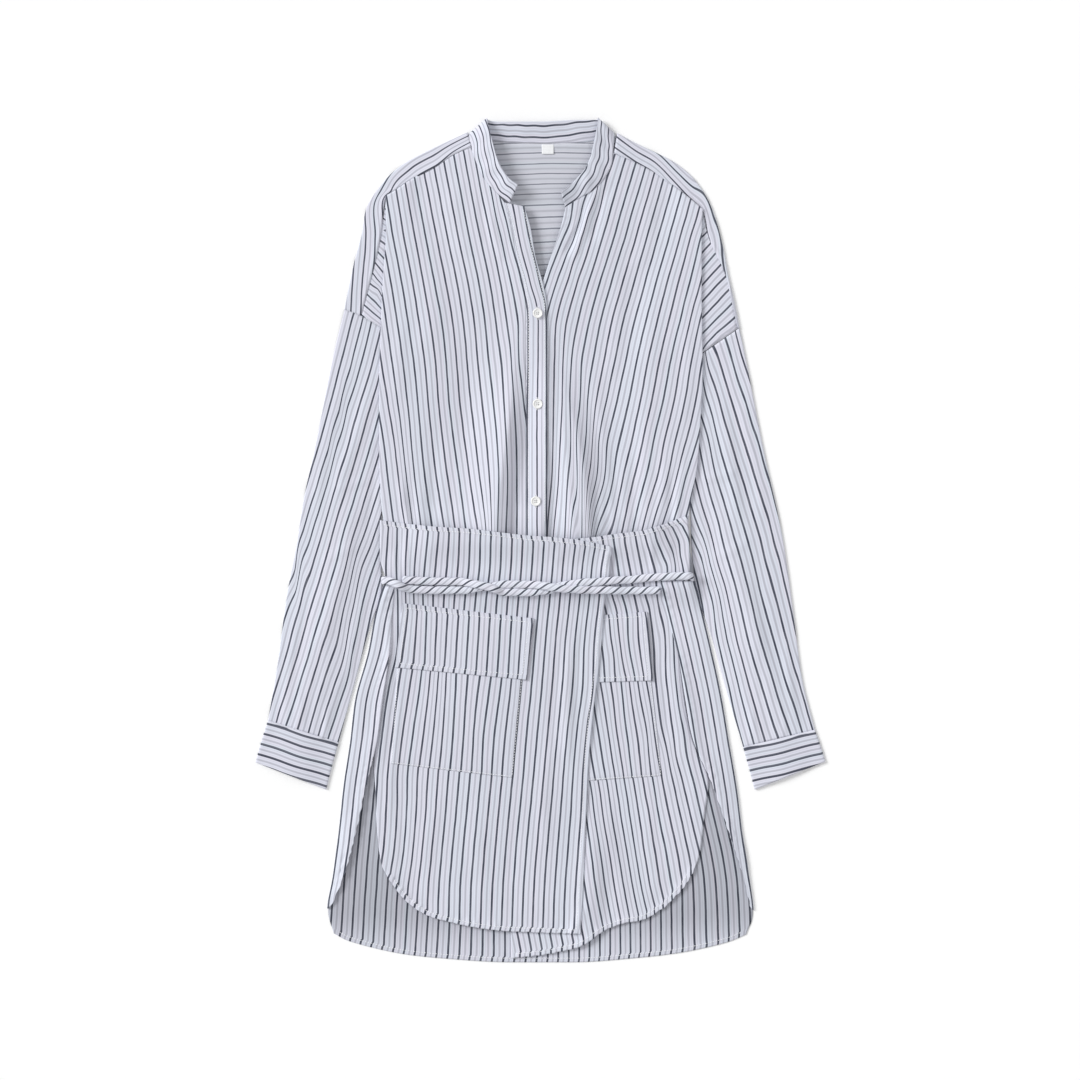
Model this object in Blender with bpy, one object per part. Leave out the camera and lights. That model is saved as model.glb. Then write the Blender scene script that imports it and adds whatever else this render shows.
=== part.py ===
"""A striped shirt dress laid out flat: a band-collared shirt with long sleeves, joined at the waist to
a wrapped skirt with patch pockets and a longer back, and tied with a twisted cord belt.

Run it with blender --background --python part.py, or from the text editor. Units are metres, +Z is up,
+Y points from the hem to the collar, and the front faces up. Left and right are the wearer's, so the
wearer's right side is at -X. The tables below are in millimetres.

Every piece is one sheet of cloth. Its middle surface is made of grids of points, whose heights come from
the order in which the layers lie on each other, and a Solidify modifier gives it its wall.
"""

import math

import bmesh
import bpy
from mathutils import Vector

MM = 0.001

# Cloth
CLOTH = 1.0  # wall of one layer
LAYER_GAP = 0.4  # between two layers that lie on each other
PITCH = CLOTH + LAYER_GAP
POCKET_PITCH = 1.8  # a pocket over its panel, and a flap over its pocket
SEAM_GAP = 0.3  # between the edges of two pieces at a seam
TURN_POINTS = 2  # points inside the half circle of a fold

# Belt: a sewn cord, pressed flatter where the dress lies on it
BELT_WIDTH = 7.5
BELT_HEIGHT = 4.5
BELT_BACK_HEIGHT = 3.0
BELT_CLEARANCE = 0.4
BELT_BACK_Y = -42.0
BELT_STEP = 12.0
BELT_SIDES = 8
BELT_SIDE_POINTS = 5
BELT_BACK_POINTS = 14
BELT_FLOOR_GAP = 0.1
BELT_OFF_OVER_PANEL = (78, 96)  # x where it comes down from the over panel to the under panel

# Relief
RIDGE_HEIGHT = 3.9  # rise of every layer over the belt's back run
RIDGE_HALF_WIDTH = 36.0
NECK_RISE = 6.0  # height of the stiff front edges over the back, at the collar
NECK_CENTRE = (1.0, 355.0)
NECK_REACH = 190.0
SLEEVE_PUFF = 3.2
CUFF_PUFF = 1.5
BAND_STAND = 4.0  # rise of the collar band's free edge over its seam in front
BAND_STAND_BACK = 1.0
BAND_ROLL = 0.6  # rise of its middle over the line between its edges
TURN_UNDER = 6.0  # cloth under a front stays at the height of its fold up to here

# Buttons and label
BUTTON_RADIUS = 5.3
BUTTON_SIDES = 16
BUTTON_HEIGHT = 2.4
BUTTON_RIM = 1.2
BUTTON_DISH = 0.7
BUTTON_BEVEL = 0.6
BUTTON_HOLE_RADIUS = 0.8
BUTTON_HOLE_OFFSET = 1.3
BUTTON_SEAT_GAP = 0.3
BUTTON_CENTRES = ((-3.0, 240.0), (-3.0, 144.0), (-5.0, 41.0))
LABEL_LEFT, LABEL_RIGHT, LABEL_TOP, LABEL_BOTTOM = 1.5, 14.0, 419.0, 409.0
LABEL_WALL = 0.6

# Heights on the body where the layers change
SHIRT_OFF_HEADER = (22, 40)  # y where the shirt comes down from the header at the back
SLEEVE_UNDER_FRONT = (22, 45)  # y where the sleeve's layer begins under the front
PLACKET_LAPS = (335, 285)  # y where the right front's edge rises onto the left front
PLACKET_SLOPE = (-48, -17)  # x where it rises
HEADER_ON_SHIRT = (-78, -46)  # y where the skirt rises onto the shirt
PLACKET_UNDER_HEADER = (-80, -48)  # x where the header rises over the placket
HEADER_OFF_PLACKET = (30, 100)  # x where it comes down
OVER_ON_UNDER = (-135, -52)  # x where the over panel rises onto the under panel
POCKET_HIDDEN_TOP = (-48, -70)  # y where the over panel rises onto the under panel's pocket
POUCH_HIDDEN_END = (-340, -266)
FLAP_HIDDEN_END = (-245, -163)
SIDE_SLOPE = (45, 22)  # width of the slope beside the side's layers, below and at the shoulder
SIDE_SLOPE_Y = (310, 360)
SLEEVE_FULL = ((100, -60), (-240, -150))  # y where the puff grows, from the armhole and from the cuff

# Armhole seams, from the shoulder to the underarm: x, y
ARMHOLE_RIGHT = ((-207, 244), (-191, 238), (-168, 225), (-145, 213), (-122, 201))
ARMHOLE_LEFT = ((210, 224), (191, 211), (172, 198), (148, 187), (123, 177))

# Seam of the yoke with the back panel, from the right armhole to the left one: x, y
BACK_YOKE_SEAM = ((-199, 241), (-170, 248), (-100, 253), (1, 254), (109, 250), (158, 241), (191, 211))

# Yoke sections on the right shoulder, from the armhole to the neck.
# seam x, seam y with the front; fold x, fold y at the shoulder; back x on the seam with the back
YOKE_RIGHT = (
    (-191, 238, -207, 244, -199),
    (-180, 278, -198, 288, -187),
    (-170, 321, -189, 322, -170),
    (-163, 365, -179, 361, -153),
    (-153, 371, -162, 383, -136),
    (-134, 384, -142, 399, -119),
    (-113, 395, -119, 411, -100),
    (-92, 409, -97, 421, -81),
    (-75, 416, -79, 429, -62),
)
# The same on the left shoulder, from the neck to where the seam runs over to the back
YOKE_LEFT = (
    (78, 410, 81, 429, 66),
    (100, 401, 100, 419, 87),
    (121, 390, 122, 409, 109),
    (140, 376, 143, 398, 127),
    (157, 363, 161, 383, 144),
    (171, 351, 173, 367, 158),
    (179, 320, 186, 337, 172),
    (187, 303, 192, 310, 183),
)
# Neck seam across the back: x, y; and x on the seam with the back panel
NECK_BACK = ((-74, 427), (-46, 422), (1, 420), (52, 422), (76, 426))
NECK_BACK_X = (-55, -43, 1, 47, 59)

# Collar band, from the right end round the back to the left end.
# seam x, seam y, free edge x, free edge y, side (1 front, 0 back)
BAND = (
    (-32, 357, -24, 375, 1.0),
    (-48, 370, -34, 383, 1.0),
    (-59, 383, -44, 399, 1.0),
    (-69, 404, -51, 422, 1.0),
    (-74, 420, -55, 437, 0.95),
    (-76, 430, -57, 445, 0.5),
    (-74, 428, -55, 443, 0.0),
    (-46, 423, -38, 443, 0.0),
    (1, 421, 1, 443, 0.0),
    (52, 423, 42, 445, 0.0),
    (76, 427, 59, 445, 0.0),
    (78, 431, 61, 447, 0.5),
    (77, 419, 59, 433, 0.95),
    (74, 395, 52, 403, 1.0),
    (58, 373, 45, 390, 1.0),
    (42, 363, 33, 377, 1.0),
    (26, 353, 22, 367, 1.0),
)

# Right front. Its top edge runs along the yoke and the collar band: x, y
FRONT_RIGHT_TOP = (
    (-163, 365),
    (-153, 371),
    (-134, 384),
    (-113, 395),
    (-92, 409),
    (-75, 416),
    (-69, 404),
    (-59, 383),
    (-48, 370),
    (-38, 357),
)
# Rows below it: fold x, fold y at the side; edge x, edge y at the placket;
# turn x where the cloth under the fold turns back or meets the side seam
FRONT_RIGHT_ROWS = (
    (-163, 321, -31, 333, -152),
    (-166, 278, -25, 299, -145),
    (-169, 205, -17, 266, -122),
    (-170, 165, -15, 244, -124),
    (-170, 125, -15, 200, -133),
    (-170, 90, -15, 140, -142),
    (-169, 60, -15, 85, -150),
    (-168, 40, -15, 40, -153),
    (-166, 22, -15, 22, -155),
    (-164, 8, -15, 8, -155),
    (-162, -6, -15, -6, -154),
    (-162, -18, -15, -18, -154),
    (-162, -30, -15, -30, -154),
    (-161, -42, -15, -42, -153),
)
# Outer points of the drop below the shoulder, one for each of the first rows: x, y
DROP_RIGHT_SEAM = ((-163, 365), (-170, 321), (-180, 278))

# Left front, from the side to its free edge, which passes under the placket
FRONT_LEFT_TOP = (
    (171, 351),
    (157, 363),
    (140, 376),
    (121, 390),
    (100, 401),
    (78, 410),
    (74, 395),
    (58, 373),
    (42, 363),
    (27, 353),
)
FRONT_LEFT_ROWS = (
    (170, 320, 19, 323, 160),
    (170, 295, 13, 306, 155),
    (170, 260, 3, 275, 148),
    (171, 182, -7, 244, 123),
    (170, 150, -12, 215, 124),
    (168, 118, -12, 175, 129),
    (166, 85, -12, 130, 136),
    (162, 60, -12, 85, 143),
    (158, 40, -12, 40, 146),
    (156, 22, -12, 22, 147),
    (155, 8, -12, 8, 147),
    (154, -6, -12, -6, 146),
    (154, -18, -12, -18, 146),
    (154, -30, -12, -30, 146),
    (153, -42, -12, -42, 145),
)
DROP_LEFT_SEAM = ((171, 351), (179, 320), (187, 303), (199, 275))

# Placket on the right front's edge: left x, right x, y left, y right
PLACKET_ROWS = (
    (-38, 357, -17, 353),
    (-31, 333, -11, 333),
    (-25, 299, -5, 299),
    (-17, 266, 4, 266),
    (-15, 244, 7, 244),
    (-15, 200, 7, 200),
    (-15, 140, 7, 140),
    (-15, 85, 7, 85),
    (-15, 40, 7, 40),
    (-15, 22, 7, 22),
    (-15, 8, 7, 8),
    (-15, -6, 7, -6),
    (-15, -18, 7, -18),
    (-15, -30, 7, -30),
    (-15, -42, 7, -42),
)

# Back panel below the yoke: side x, side y on the right and on the left
BACK_ROWS = (
    (-191, 238, 184, 206),
    (-168, 225, 172, 198),
    (-145, 213, 148, 187),
    (-119, 200, 120, 176),
    (-130, 150, 129, 140),
    (-146, 95, 139, 90),
    (-155, 60, 147, 60),
    (-158, 40, 151, 40),
    (-162, 22, 153, 22),
    (-161, 8, 153, 8),
    (-160, -6, 152, -6),
    (-160, -18, 152, -18),
    (-160, -30, 152, -30),
    (-159, -42, 151, -42),
)

# Sleeves, from the armhole to the cuff: outer x, outer y; inner x, inner y
SLEEVE_RIGHT_ROWS = (
    (-218, 198, -134, 160),
    (-228, 148, -149, 118),
    (-239, 93, -162, 66),
    (-250, 43, -170, 16),
    (-258, -8, -170, -21),
    (-264, -38, -173, -50),
    (-269, -67, -182, -93),
    (-278, -134, -197, -148),
    (-288, -192, -215, -215),
)
SLEEVE_LEFT_ROWS = (
    (220, 175, 135, 136),
    (229, 127, 147, 90),
    (240, 74, 159, 40),
    (251, 26, 162, -5),
    (256, 0, 166, -30),
    (260, -26, 170, -56),
    (268, -85, 182, -102),
    (276, -146, 196, -153),
    (290, -202, 216, -220),
)
# Cuffs: the same columns
CUFF_RIGHT_ROWS = ((-288, -192, -215, -215), (-295, -214, -222, -240), (-301, -236, -228, -264))
CUFF_LEFT_ROWS = ((290, -202, 216, -220), (296, -219, 222, -242), (301, -235, 228, -264))

# Over panel of the skirt, which comes from the right: the header's top edge: x, y
OVER_TOP = ((-170, 21), (-151, 19), (-127, 15), (-75, 12), (-7, 4), (32, 2), (75, -7))
# Rows below it: right edge x, y; front edge x, y
OVER_ROWS = (
    (-170, 8, 75, -11),
    (-170, -6, 75, -14),
    (-170, -18, 74, -18),
    (-167, -30, 73, -30),
    (-164, -42, 72, -42),
    (-148, -54, 70, -54),
    (-149, -66, 68, -66),
    (-151, -78, 67, -78),
    (-157, -127, 63, -127),
    (-161, -164, 58, -164),
    (-164, -200, 54, -200),
    (-163, -230, 51, -235),
    (-170, -265, 49, -280),
    (-173, -310, 47, -325),
    (-169, -341, 45, -370),
)
OVER_HEM = ((-161, -359), (-148, -378), (-120, -398), (-80, -409), (-40, -414), (2, -416), (42, -417))

# Under panel, which comes from the left
UNDER_TOP = ((-29, -1), (5, -1), (37, 0), (76, 6), (109, 10), (129, 16), (155, 26))
UNDER_ROWS = (
    (-29, -5, 157, 12),
    (-29, -10, 158, -3),
    (-29, -18, 158, -18),
    (-29, -30, 158, -30),
    (-30, -42, 157, -42),
    (-30, -54, 147, -54),
    (-30, -66, 142, -66),
    (-30, -78, 143, -78),
    (-30, -127, 148, -127),
    (-30, -170, 153, -170),
    (-31, -215, 161, -211),
    (-31, -262, 178, -255),
    (-31, -330, 174, -290),
    (-32, -390, 169, -331),
)
UNDER_HEM = ((-31, -443), (1, -440), (38, -430), (76, -413), (115, -399), (142, -380), (162, -352))

# Back panel of the skirt: right fold x, y; left fold x, y
SKIRT_BACK_TOP_ROWS = ((-166, 22, 155, 22), (-167, 8, 156, 8), (-167, -6, 157, -6))
SKIRT_BACK_ROWS = (
    (-167, -18, 157, -18),
    (-165, -30, 157, -30),
    (-163, -42, 156, -42),
    (-167, -54, 160, -54),
    (-171, -66, 166, -66),
    (-174, -78, 171, -78),
    (-182, -120, 181, -120),
    (-195, -167, 191, -167),
    (-201, -215, 199, -215),
    (-208, -262, 207, -262),
    (-213, -310, 213, -310),
    (-219, -355, 219, -350),
    (-225, -392, 225, -394),
)
# The sides of the back folded forward, one row for each of the last rows above: edge x, y
BACK_FLAP_RIGHT = (
    (-148, -54),
    (-149, -66),
    (-151, -78),
    (-156, -120),
    (-166, -163),
    (-179, -213),
    (-188, -262),
    (-196, -308),
    (-207, -352),
    (-222, -389),
)
BACK_FLAP_LEFT = (
    (147, -54),
    (142, -66),
    (143, -78),
    (148, -120),
    (153, -167),
    (162, -213),
    (182, -259),
    (199, -308),
    (213, -350),
    (223, -390),
)
BACK_HEM = (
    (-219, -417),
    (-200, -426),
    (-150, -438),
    (-95, -444),
    (-32, -447.4),
    (35, -447.4),
    (100, -443),
    (150, -437),
    (195, -427),
    (218, -418),
)

# Pockets: corners top right, top left, bottom left, bottom right as worn, x, y
OVER_POUCH = ((-148, -77), (-13, -92), (-29, -252), (-159, -237))
OVER_FLAP = ((-146, -67), (-7, -83), (-15, -148), (-154, -135))
UNDER_POUCH = ((-23, -89), (111, -86), (129, -250), (-9, -259))
UNDER_FLAP = ((-26, -86), (113, -76), (119, -149), (-22, -153))

# Belt strands in front, from the right side to the left side: x, y
BELT_STRAND_A = ((-162, -43), (-152, -47), (-140, -52), (-110, -53), (-82, -53), (-60, -50), (-38, -47))
BELT_STRAND_A += ((-12, -47), (8, -49), (28, -52), (60, -53), (100, -53.5), (127, -53))
BELT_STRAND_B = ((-146, -42), (-120, -43.5), (-85, -44), (-60, -48), (-38, -55), (-12, -55.5), (8, -53))
BELT_STRAND_B += ((28, -47), (52, -44.5), (93, -42), (125, -39), (154, -38))
BELT_FRONT_END_A = 127.0
BELT_A_OVER_BEFORE = -100.0  # strand A lies on B up to here
BELT_A_OVER_AFTER = -25.0  # and again from here
BELT_SIDE_RIGHT = -167.0  # centreline where it turns round the sides
BELT_SIDE_LEFT = 160.5

# Gathers above the header in the fronts: top x, top y, bottom x, bottom y, height, half width
GATHERS = (
    (-38, 120, -30, 20, 2.5, 13),
    (-100, 130, -92, 20, 1.6, 18),
    (42, 170, 34, 15, 4.0, 14),
    (72, 150, 62, 15, 3.2, 14),
    (108, 170, 92, 15, 2.2, 16),
    (62, 385, 36, 290, 3.0, 12),
)
GATHER_PRESSED_Y = 22.0
GATHER_FREE_Y = 62.0

FABRIC = ((0.80, 0.83, 0.89, 1.0), 0.78)
SHELL_WHITE = ((0.93, 0.93, 0.92, 1.0), 0.25)
TAPE_WHITE = ((0.95, 0.95, 0.95, 1.0), 0.7)


# ---------------------------------------------------------------- measures


def ramp(value, start, end):
    """0 at start, 1 at end, eased at both."""
    t = min(1.0, max(0.0, (value - start) / (end - start)))
    return t * t * (3 - 2 * t)


def mix(a, b, share):
    return a + (b - a) * share


def between(table, value, column=1, key=0):
    """A column of a table read at a value of its key column, straight between its rows."""
    rows = sorted(table, key=lambda row: row[key])
    if value <= rows[0][key]:
        return rows[0][column]
    for low, high in zip(rows, rows[1:]):
        if value <= high[key]:
            return mix(low[column], high[column], (value - low[key]) / (high[key] - low[key]))
    return rows[-1][column]


def spread(start, end, count):
    """count points (x, y) from start to end."""
    return [
        (mix(start[0], end[0], i / (count - 1)), mix(start[1], end[1], i / (count - 1)))
        for i in range(count)
    ]


# ---------------------------------------------------------------- heights of the layers


def belt_ridge(y):
    """Rise of everything that lies on the belt's back run."""
    off = abs(y - BELT_BACK_Y)
    if off >= RIDGE_HALF_WIDTH:
        return 0.0
    return RIDGE_HEIGHT * (1 + math.cos(math.pi * off / RIDGE_HALF_WIDTH)) / 2


def layer(level, y):
    """Middle surface of a layer of the shirt: level 0 is its back."""
    over_header = PITCH * (1 - ramp(y, *SHIRT_OFF_HEADER))
    return CLOTH / 2 + belt_ridge(y) + over_header + PITCH * level


def neck_rise(x, y):
    distance = math.hypot(x - NECK_CENTRE[0], y - NECK_CENTRE[1])
    return NECK_RISE * ramp(1 - distance / NECK_REACH, 0, 1)


def side_levels(y):
    """Levels that the side adds under the front: the sleeve and the turned cloth, or the latter."""
    return 1 + ramp(y, *SLEEVE_UNDER_FRONT)


def side_share(x, y):
    """1 where the front lies on the side's layers, 0 in the middle."""
    rows = FRONT_RIGHT_ROWS if x < 0 else FRONT_LEFT_ROWS
    turn = abs(between(rows, y, column=4, key=1))
    reach = mix(*SIDE_SLOPE, ramp(y, *SIDE_SLOPE_Y))
    return 1 - ramp(turn - TURN_UNDER - abs(x), 0, reach)


def gather_height(x, y):
    """Soft ridges of the fronts, pressed flat where they pass under the header."""
    total = 0.0
    for top_x, top_y, low_x, low_y, height, half_width in GATHERS:
        along = (top_y - y) / (top_y - low_y)
        if not 0 < along < 1.3:
            continue
        off = abs(x - mix(top_x, low_x, along)) / half_width
        if off < 1:
            total += height * ramp(along, 0, 0.6) * math.cos(off * math.pi / 2) ** 2
    pressed = ramp(y, GATHER_PRESSED_Y, GATHER_FREE_Y)
    return total * pressed


def front_height(x, y):
    """Middle surface of the fronts."""
    extra = side_levels(y) * side_share(x, y)
    return layer(1 + extra, y) + neck_rise(x, y) + gather_height(x, y)


def placket_lift(y):
    """Share of a layer by which the right front's edge lies on the left front."""
    return ramp(y, *PLACKET_LAPS)


def right_front_height(x, y):
    return front_height(x, y) + PITCH * placket_lift(y) * ramp(x, *PLACKET_SLOPE)


def placket_height(x, y):
    return front_height(x, y) + PITCH * placket_lift(y)


def header_share(y):
    """1 in the header, which lies on the shirt, 0 on the skirt below it."""
    return ramp(y, *HEADER_ON_SHIRT)


def placket_bump(x):
    """Share of a layer that the placket adds under the skirt's header."""
    return ramp(x, *PLACKET_UNDER_HEADER) * (1 - ramp(x, *HEADER_OFF_PLACKET))


def under_height(x, y):
    """Middle surface of the skirt's under panel."""
    on_shirt = front_height(x, y) + PITCH * (1 + placket_bump(x))
    on_back = CLOTH / 2 + belt_ridge(y) + PITCH
    return mix(on_back, on_shirt, header_share(y))


def hidden_pocket(y):
    """Layers that the under panel's pocket and flap add under the over panel."""
    return ramp(y, *POCKET_HIDDEN_TOP) * (ramp(y, *POUCH_HIDDEN_END) + ramp(y, *FLAP_HIDDEN_END))


def over_height(x, y):
    """Middle surface of the skirt's over panel."""
    beside = ramp(x, *OVER_ON_UNDER)
    return under_height(x, y) + beside * (PITCH + POCKET_PITCH * hidden_pocket(y))


# ---------------------------------------------------------------- shapes


def with_height(points, height):
    return [(x, y, height(x, y)) for x, y in points]


def turn(start, end, outward):
    """Points inside the half circle that joins two layers, one above the other, at a fold."""
    radius = abs(end[2] - start[2]) / 2
    points = []
    for i in range(1, TURN_POINTS + 1):
        angle = math.pi * i / (TURN_POINTS + 1)
        bulge = radius * math.sin(angle)
        share = (1 - math.cos(angle)) / 2
        points.append(
            (
                mix(start[0], end[0], share) + bulge * outward[0],
                mix(start[1], end[1], share) + bulge * outward[1],
                mix(start[2], end[2], share),
            )
        )
    return points


def material_for(name, finish):
    colour, roughness = finish
    material = bpy.data.materials.new(name)
    material.use_nodes = True
    shader = material.node_tree.nodes["Principled BSDF"]
    shader.inputs["Base Color"].default_value = colour
    shader.inputs["Roughness"].default_value = roughness
    shader.inputs["Metallic"].default_value = 0.0
    return material


def object_from(name, mesh, finish):
    mesh.materials.append(material_for(name, finish))
    made = bpy.data.objects.new(name, mesh)
    bpy.context.scene.collection.objects.link(made)
    return made


def draw_in_edges(bm, distance):
    """Moves every edge of a sheet inwards, level, so that sheets that share a seam stay apart."""
    moves = {}
    for edge in bm.edges:
        if len(edge.link_faces) != 1:
            continue
        face = edge.link_faces[0]
        along = (edge.verts[1].co - edge.verts[0].co).normalized()
        inwards = face.normal.cross(along)
        middle = (edge.verts[0].co + edge.verts[1].co) / 2
        if inwards.dot(face.calc_center_median() - middle) < 0:
            inwards.negate()
        for vert in edge.verts:
            moves.setdefault(vert, []).append(inwards)
    for vert, directions in moves.items():
        total = sum(directions, Vector())
        total.z = 0
        vert.co += total.normalized() * distance


def sheet(name, grids, closed=False, wall=CLOTH, finish=FABRIC):
    """One piece of cloth from grids of middle points, which are welded where they share points."""
    bm = bmesh.new()
    for rows in grids:
        verts = [[bm.verts.new(Vector(point) * MM) for point in row] for row in rows]
        for low, high in zip(verts, verts[1:]):
            last = len(low) if closed else len(low) - 1
            for i in range(last):
                j = (i + 1) % len(low)
                bm.faces.new((low[i], low[j], high[j], high[i]))
    bmesh.ops.remove_doubles(bm, verts=bm.verts, dist=0.02 * MM)
    bmesh.ops.recalc_face_normals(bm, faces=bm.faces)
    bm.normal_update()
    draw_in_edges(bm, SEAM_GAP / 2 * MM)
    bm.normal_update()
    mesh = bpy.data.meshes.new(name)
    bm.to_mesh(mesh)
    bm.free()
    made = object_from(name, mesh, finish)
    solid = made.modifiers.new("wall", "SOLIDIFY")
    solid.thickness = wall * MM
    solid.offset = 0.0
    solid.use_rim = True
    mesh.shade_smooth()
    return made


def patch(corners, across, down, height):
    """A grid over four corners, top left, top right, bottom right, bottom left as seen."""
    left = spread(corners[0], corners[3], down)
    right = spread(corners[1], corners[2], down)
    return [with_height(spread(a, b, across), height) for a, b in zip(left, right)]


# ---------------------------------------------------------------- shirt


def yoke():
    """Back yoke and, folded over both shoulders, its front strips."""
    back_rows = 3

    def strip_height(x, y):
        return layer(1, y) + neck_rise(x, y)

    def wing(sections):
        rows = []
        for seam_x, seam_y, fold_x, fold_y, _ in sections:
            top = (fold_x, fold_y, strip_height(fold_x, fold_y))
            low = (fold_x, fold_y, layer(0, fold_y))
            off = Vector((fold_x - seam_x, fold_y - seam_y)).normalized()
            seam = (seam_x, seam_y, strip_height(seam_x, seam_y))
            rows.append([seam, top] + turn(top, low, off) + [low])
        return rows

    def back_column(edge, back_x):
        low = (back_x, between(BACK_YOKE_SEAM, back_x))
        return with_height(spread(edge, low, back_rows + 1), lambda x, y: layer(0, y))

    columns = [back_column((row[2], row[3]), row[4]) for row in YOKE_RIGHT]
    columns += [back_column(edge, x) for edge, x in zip(NECK_BACK, NECK_BACK_X)]
    columns += [back_column((row[2], row[3]), row[4]) for row in YOKE_LEFT]
    tip = ARMHOLE_LEFT[0]
    columns.append(back_column(tip, BACK_YOKE_SEAM[-1][0]))
    sheet("yoke", [wing(YOKE_RIGHT), wing(YOKE_LEFT), columns])


def collar_band():
    rows = []
    for seam_x, seam_y, free_x, free_y, side in BAND:
        front = front_height(seam_x, seam_y)
        seam_z = mix(layer(0, seam_y), front, side)
        free_z = seam_z + mix(BAND_STAND_BACK, BAND_STAND, side)
        middle = ((seam_x + free_x) / 2, (seam_y + free_y) / 2, (seam_z + free_z) / 2 + BAND_ROLL)
        rows.append([(seam_x, seam_y, seam_z), middle, (free_x, free_y, free_z)])
    sheet("collar_band", [rows])


def front(name, top, rows, drop_seam, armhole, height, sign):
    """One front: its face, the fold at the side with the cloth turned under, and the drop."""
    outward = (sign, 0)
    faces = []
    turned = []
    lines = [None] + list(rows)
    armpit = len(drop_seam)
    for i, line in enumerate(lines):
        if line is None:
            points = list(top)
            turn_x = top[0][0] - sign * 8
        else:
            fold_x, fold_y, edge_x, edge_y, turn_x = line
            points = spread((fold_x, fold_y), (edge_x, edge_y), len(top))
        face = with_height(points, height)
        fold_x, fold_y = points[0]
        under_z = face[0][2] - PITCH
        inner_y = armhole[-1][1] if i == armpit else fold_y
        level = layer(1, fold_y)
        end_z = under_z if i <= armpit else mix(under_z, level, ramp(i - armpit, 0, 2))
        share = TURN_UNDER / abs(fold_x - turn_x)
        leg = [(turn_x, inner_y, end_z)]
        leg.append((mix(turn_x, fold_x, share), mix(inner_y, fold_y, share), under_z))
        leg.append((fold_x, fold_y, under_z))
        faces.append(leg + turn(leg[-1], face[0], outward) + face)
        if i <= armpit:
            turned.append(leg[0])
    drop = []
    for i, inner in enumerate(turned):
        low = (inner[0], inner[1], layer(1, inner[1]))
        if i < armpit:
            line = spread(drop_seam[i], low[:2], 4)
        else:
            line = list(armhole[1:])
        line = line[:-1] + [low[:2]]
        if sign > 0 and i == armpit:
            line[0] = armhole[0]
        flat = with_height(line, lambda x, y: layer(1, y))
        drop.append(flat + turn(low, inner, (-sign, 0)) + [inner])
    sheet(name, [faces, drop])


def placket():
    """The buttoned strip on the right front's edge."""
    rows = []
    for left_x, left_y, right_x, right_y in PLACKET_ROWS:
        rows.append(with_height(spread((left_x, left_y), (right_x, right_y), 3), placket_height))
    sheet("placket", [rows])


def bodice_back():
    count = len(BACK_YOKE_SEAM)
    rows = [with_height(BACK_YOKE_SEAM, lambda x, y: layer(0, y))]
    for right_x, right_y, left_x, left_y in BACK_ROWS:
        points = spread((right_x, right_y), (left_x, left_y), count)
        rows.append(with_height(points, lambda x, y: layer(0, y)))
    sheet("bodice_back", [rows])


def tube(name, first_row, rows, puff):
    """A sleeve or cuff lying flat: rings of a lower and an upper layer with a fold at each side."""
    rings = []
    count = len(first_row)
    lines = [list(first_row)] + [spread(row[:2], row[2:], count) for row in rows]
    for line in lines:
        across = Vector(line[-1]) - Vector(line[0])
        outward = across.normalized()
        low = [(x, y, CLOTH / 2) for x, y in line]
        high = []
        for i, (x, y) in enumerate(line):
            rise = puff(y) * math.sin(math.pi * i / (count - 1)) ** 2
            high.append((x, y, CLOTH / 2 + PITCH + rise))
        ring = low + turn(low[-1], high[-1], outward) + high[::-1]
        rings.append(ring + turn(high[0], low[0], -outward))
    sheet(name, [rings], closed=True)


def sleeves():
    def puff(y):
        from_armhole, from_cuff = SLEEVE_FULL
        return SLEEVE_PUFF * ramp(y, *from_armhole) * ramp(y, *from_cuff)

    tube("sleeve_right", ARMHOLE_RIGHT, SLEEVE_RIGHT_ROWS, puff)
    tube("sleeve_left", ARMHOLE_LEFT, SLEEVE_LEFT_ROWS, puff)


def cuffs():
    for name, rows in (("cuff_right", CUFF_RIGHT_ROWS), ("cuff_left", CUFF_LEFT_ROWS)):
        first = spread(rows[0][:2], rows[0][2:], 5)
        tube(name, first, rows[1:], lambda y: CUFF_PUFF)


# ---------------------------------------------------------------- skirt


def along(table, count):
    """count points at even distances along a line of points."""
    lengths = [0.0]
    for a, b in zip(table, table[1:]):
        lengths.append(lengths[-1] + math.dist(a, b))
    steps = [(s, x, y) for s, (x, y) in zip(lengths, table)]
    at = [lengths[-1] * i / (count - 1) for i in range(count)]
    return [(between(steps, s), between(steps, s, column=2)) for s in at]


def skirt_panel(name, top, rows, hem, columns, height):
    grid = [with_height(along(top, columns), height)]
    for left_x, left_y, right_x, right_y in rows:
        grid.append(with_height(spread((left_x, left_y), (right_x, right_y), columns), height))
    grid.append(with_height(along(hem, columns), height))
    sheet(name, [grid])


def skirt_back():
    """The longer back panel, whose sides are folded forward below the belt."""

    def low_height(x, y):
        return CLOTH / 2 + belt_ridge(y)

    count = len(BACK_HEM)
    rows = []
    for right_x, right_y, left_x, left_y in SKIRT_BACK_TOP_ROWS + SKIRT_BACK_ROWS:
        rows.append(with_height(spread((right_x, right_y), (left_x, left_y), count), low_height))
    rows.append(with_height(BACK_HEM, low_height))

    def flap(edges, column, outward_x):
        folded = []
        first = len(rows) - 1 - len(edges)
        for row, (edge_x, edge_y) in zip(rows[first:], edges):
            low = row[column]
            top = (low[0], low[1], low[2] + PITCH)
            edge = (edge_x, edge_y, low_height(edge_x, edge_y) + PITCH)
            middle = tuple((a + b) / 2 for a, b in zip(top, edge))
            folded.append([low] + turn(low, top, (outward_x, 0)) + [top, middle, edge])
        return folded

    sheet("skirt_back", [rows, flap(BACK_FLAP_RIGHT, 0, -1), flap(BACK_FLAP_LEFT, -1, 1)])


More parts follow.
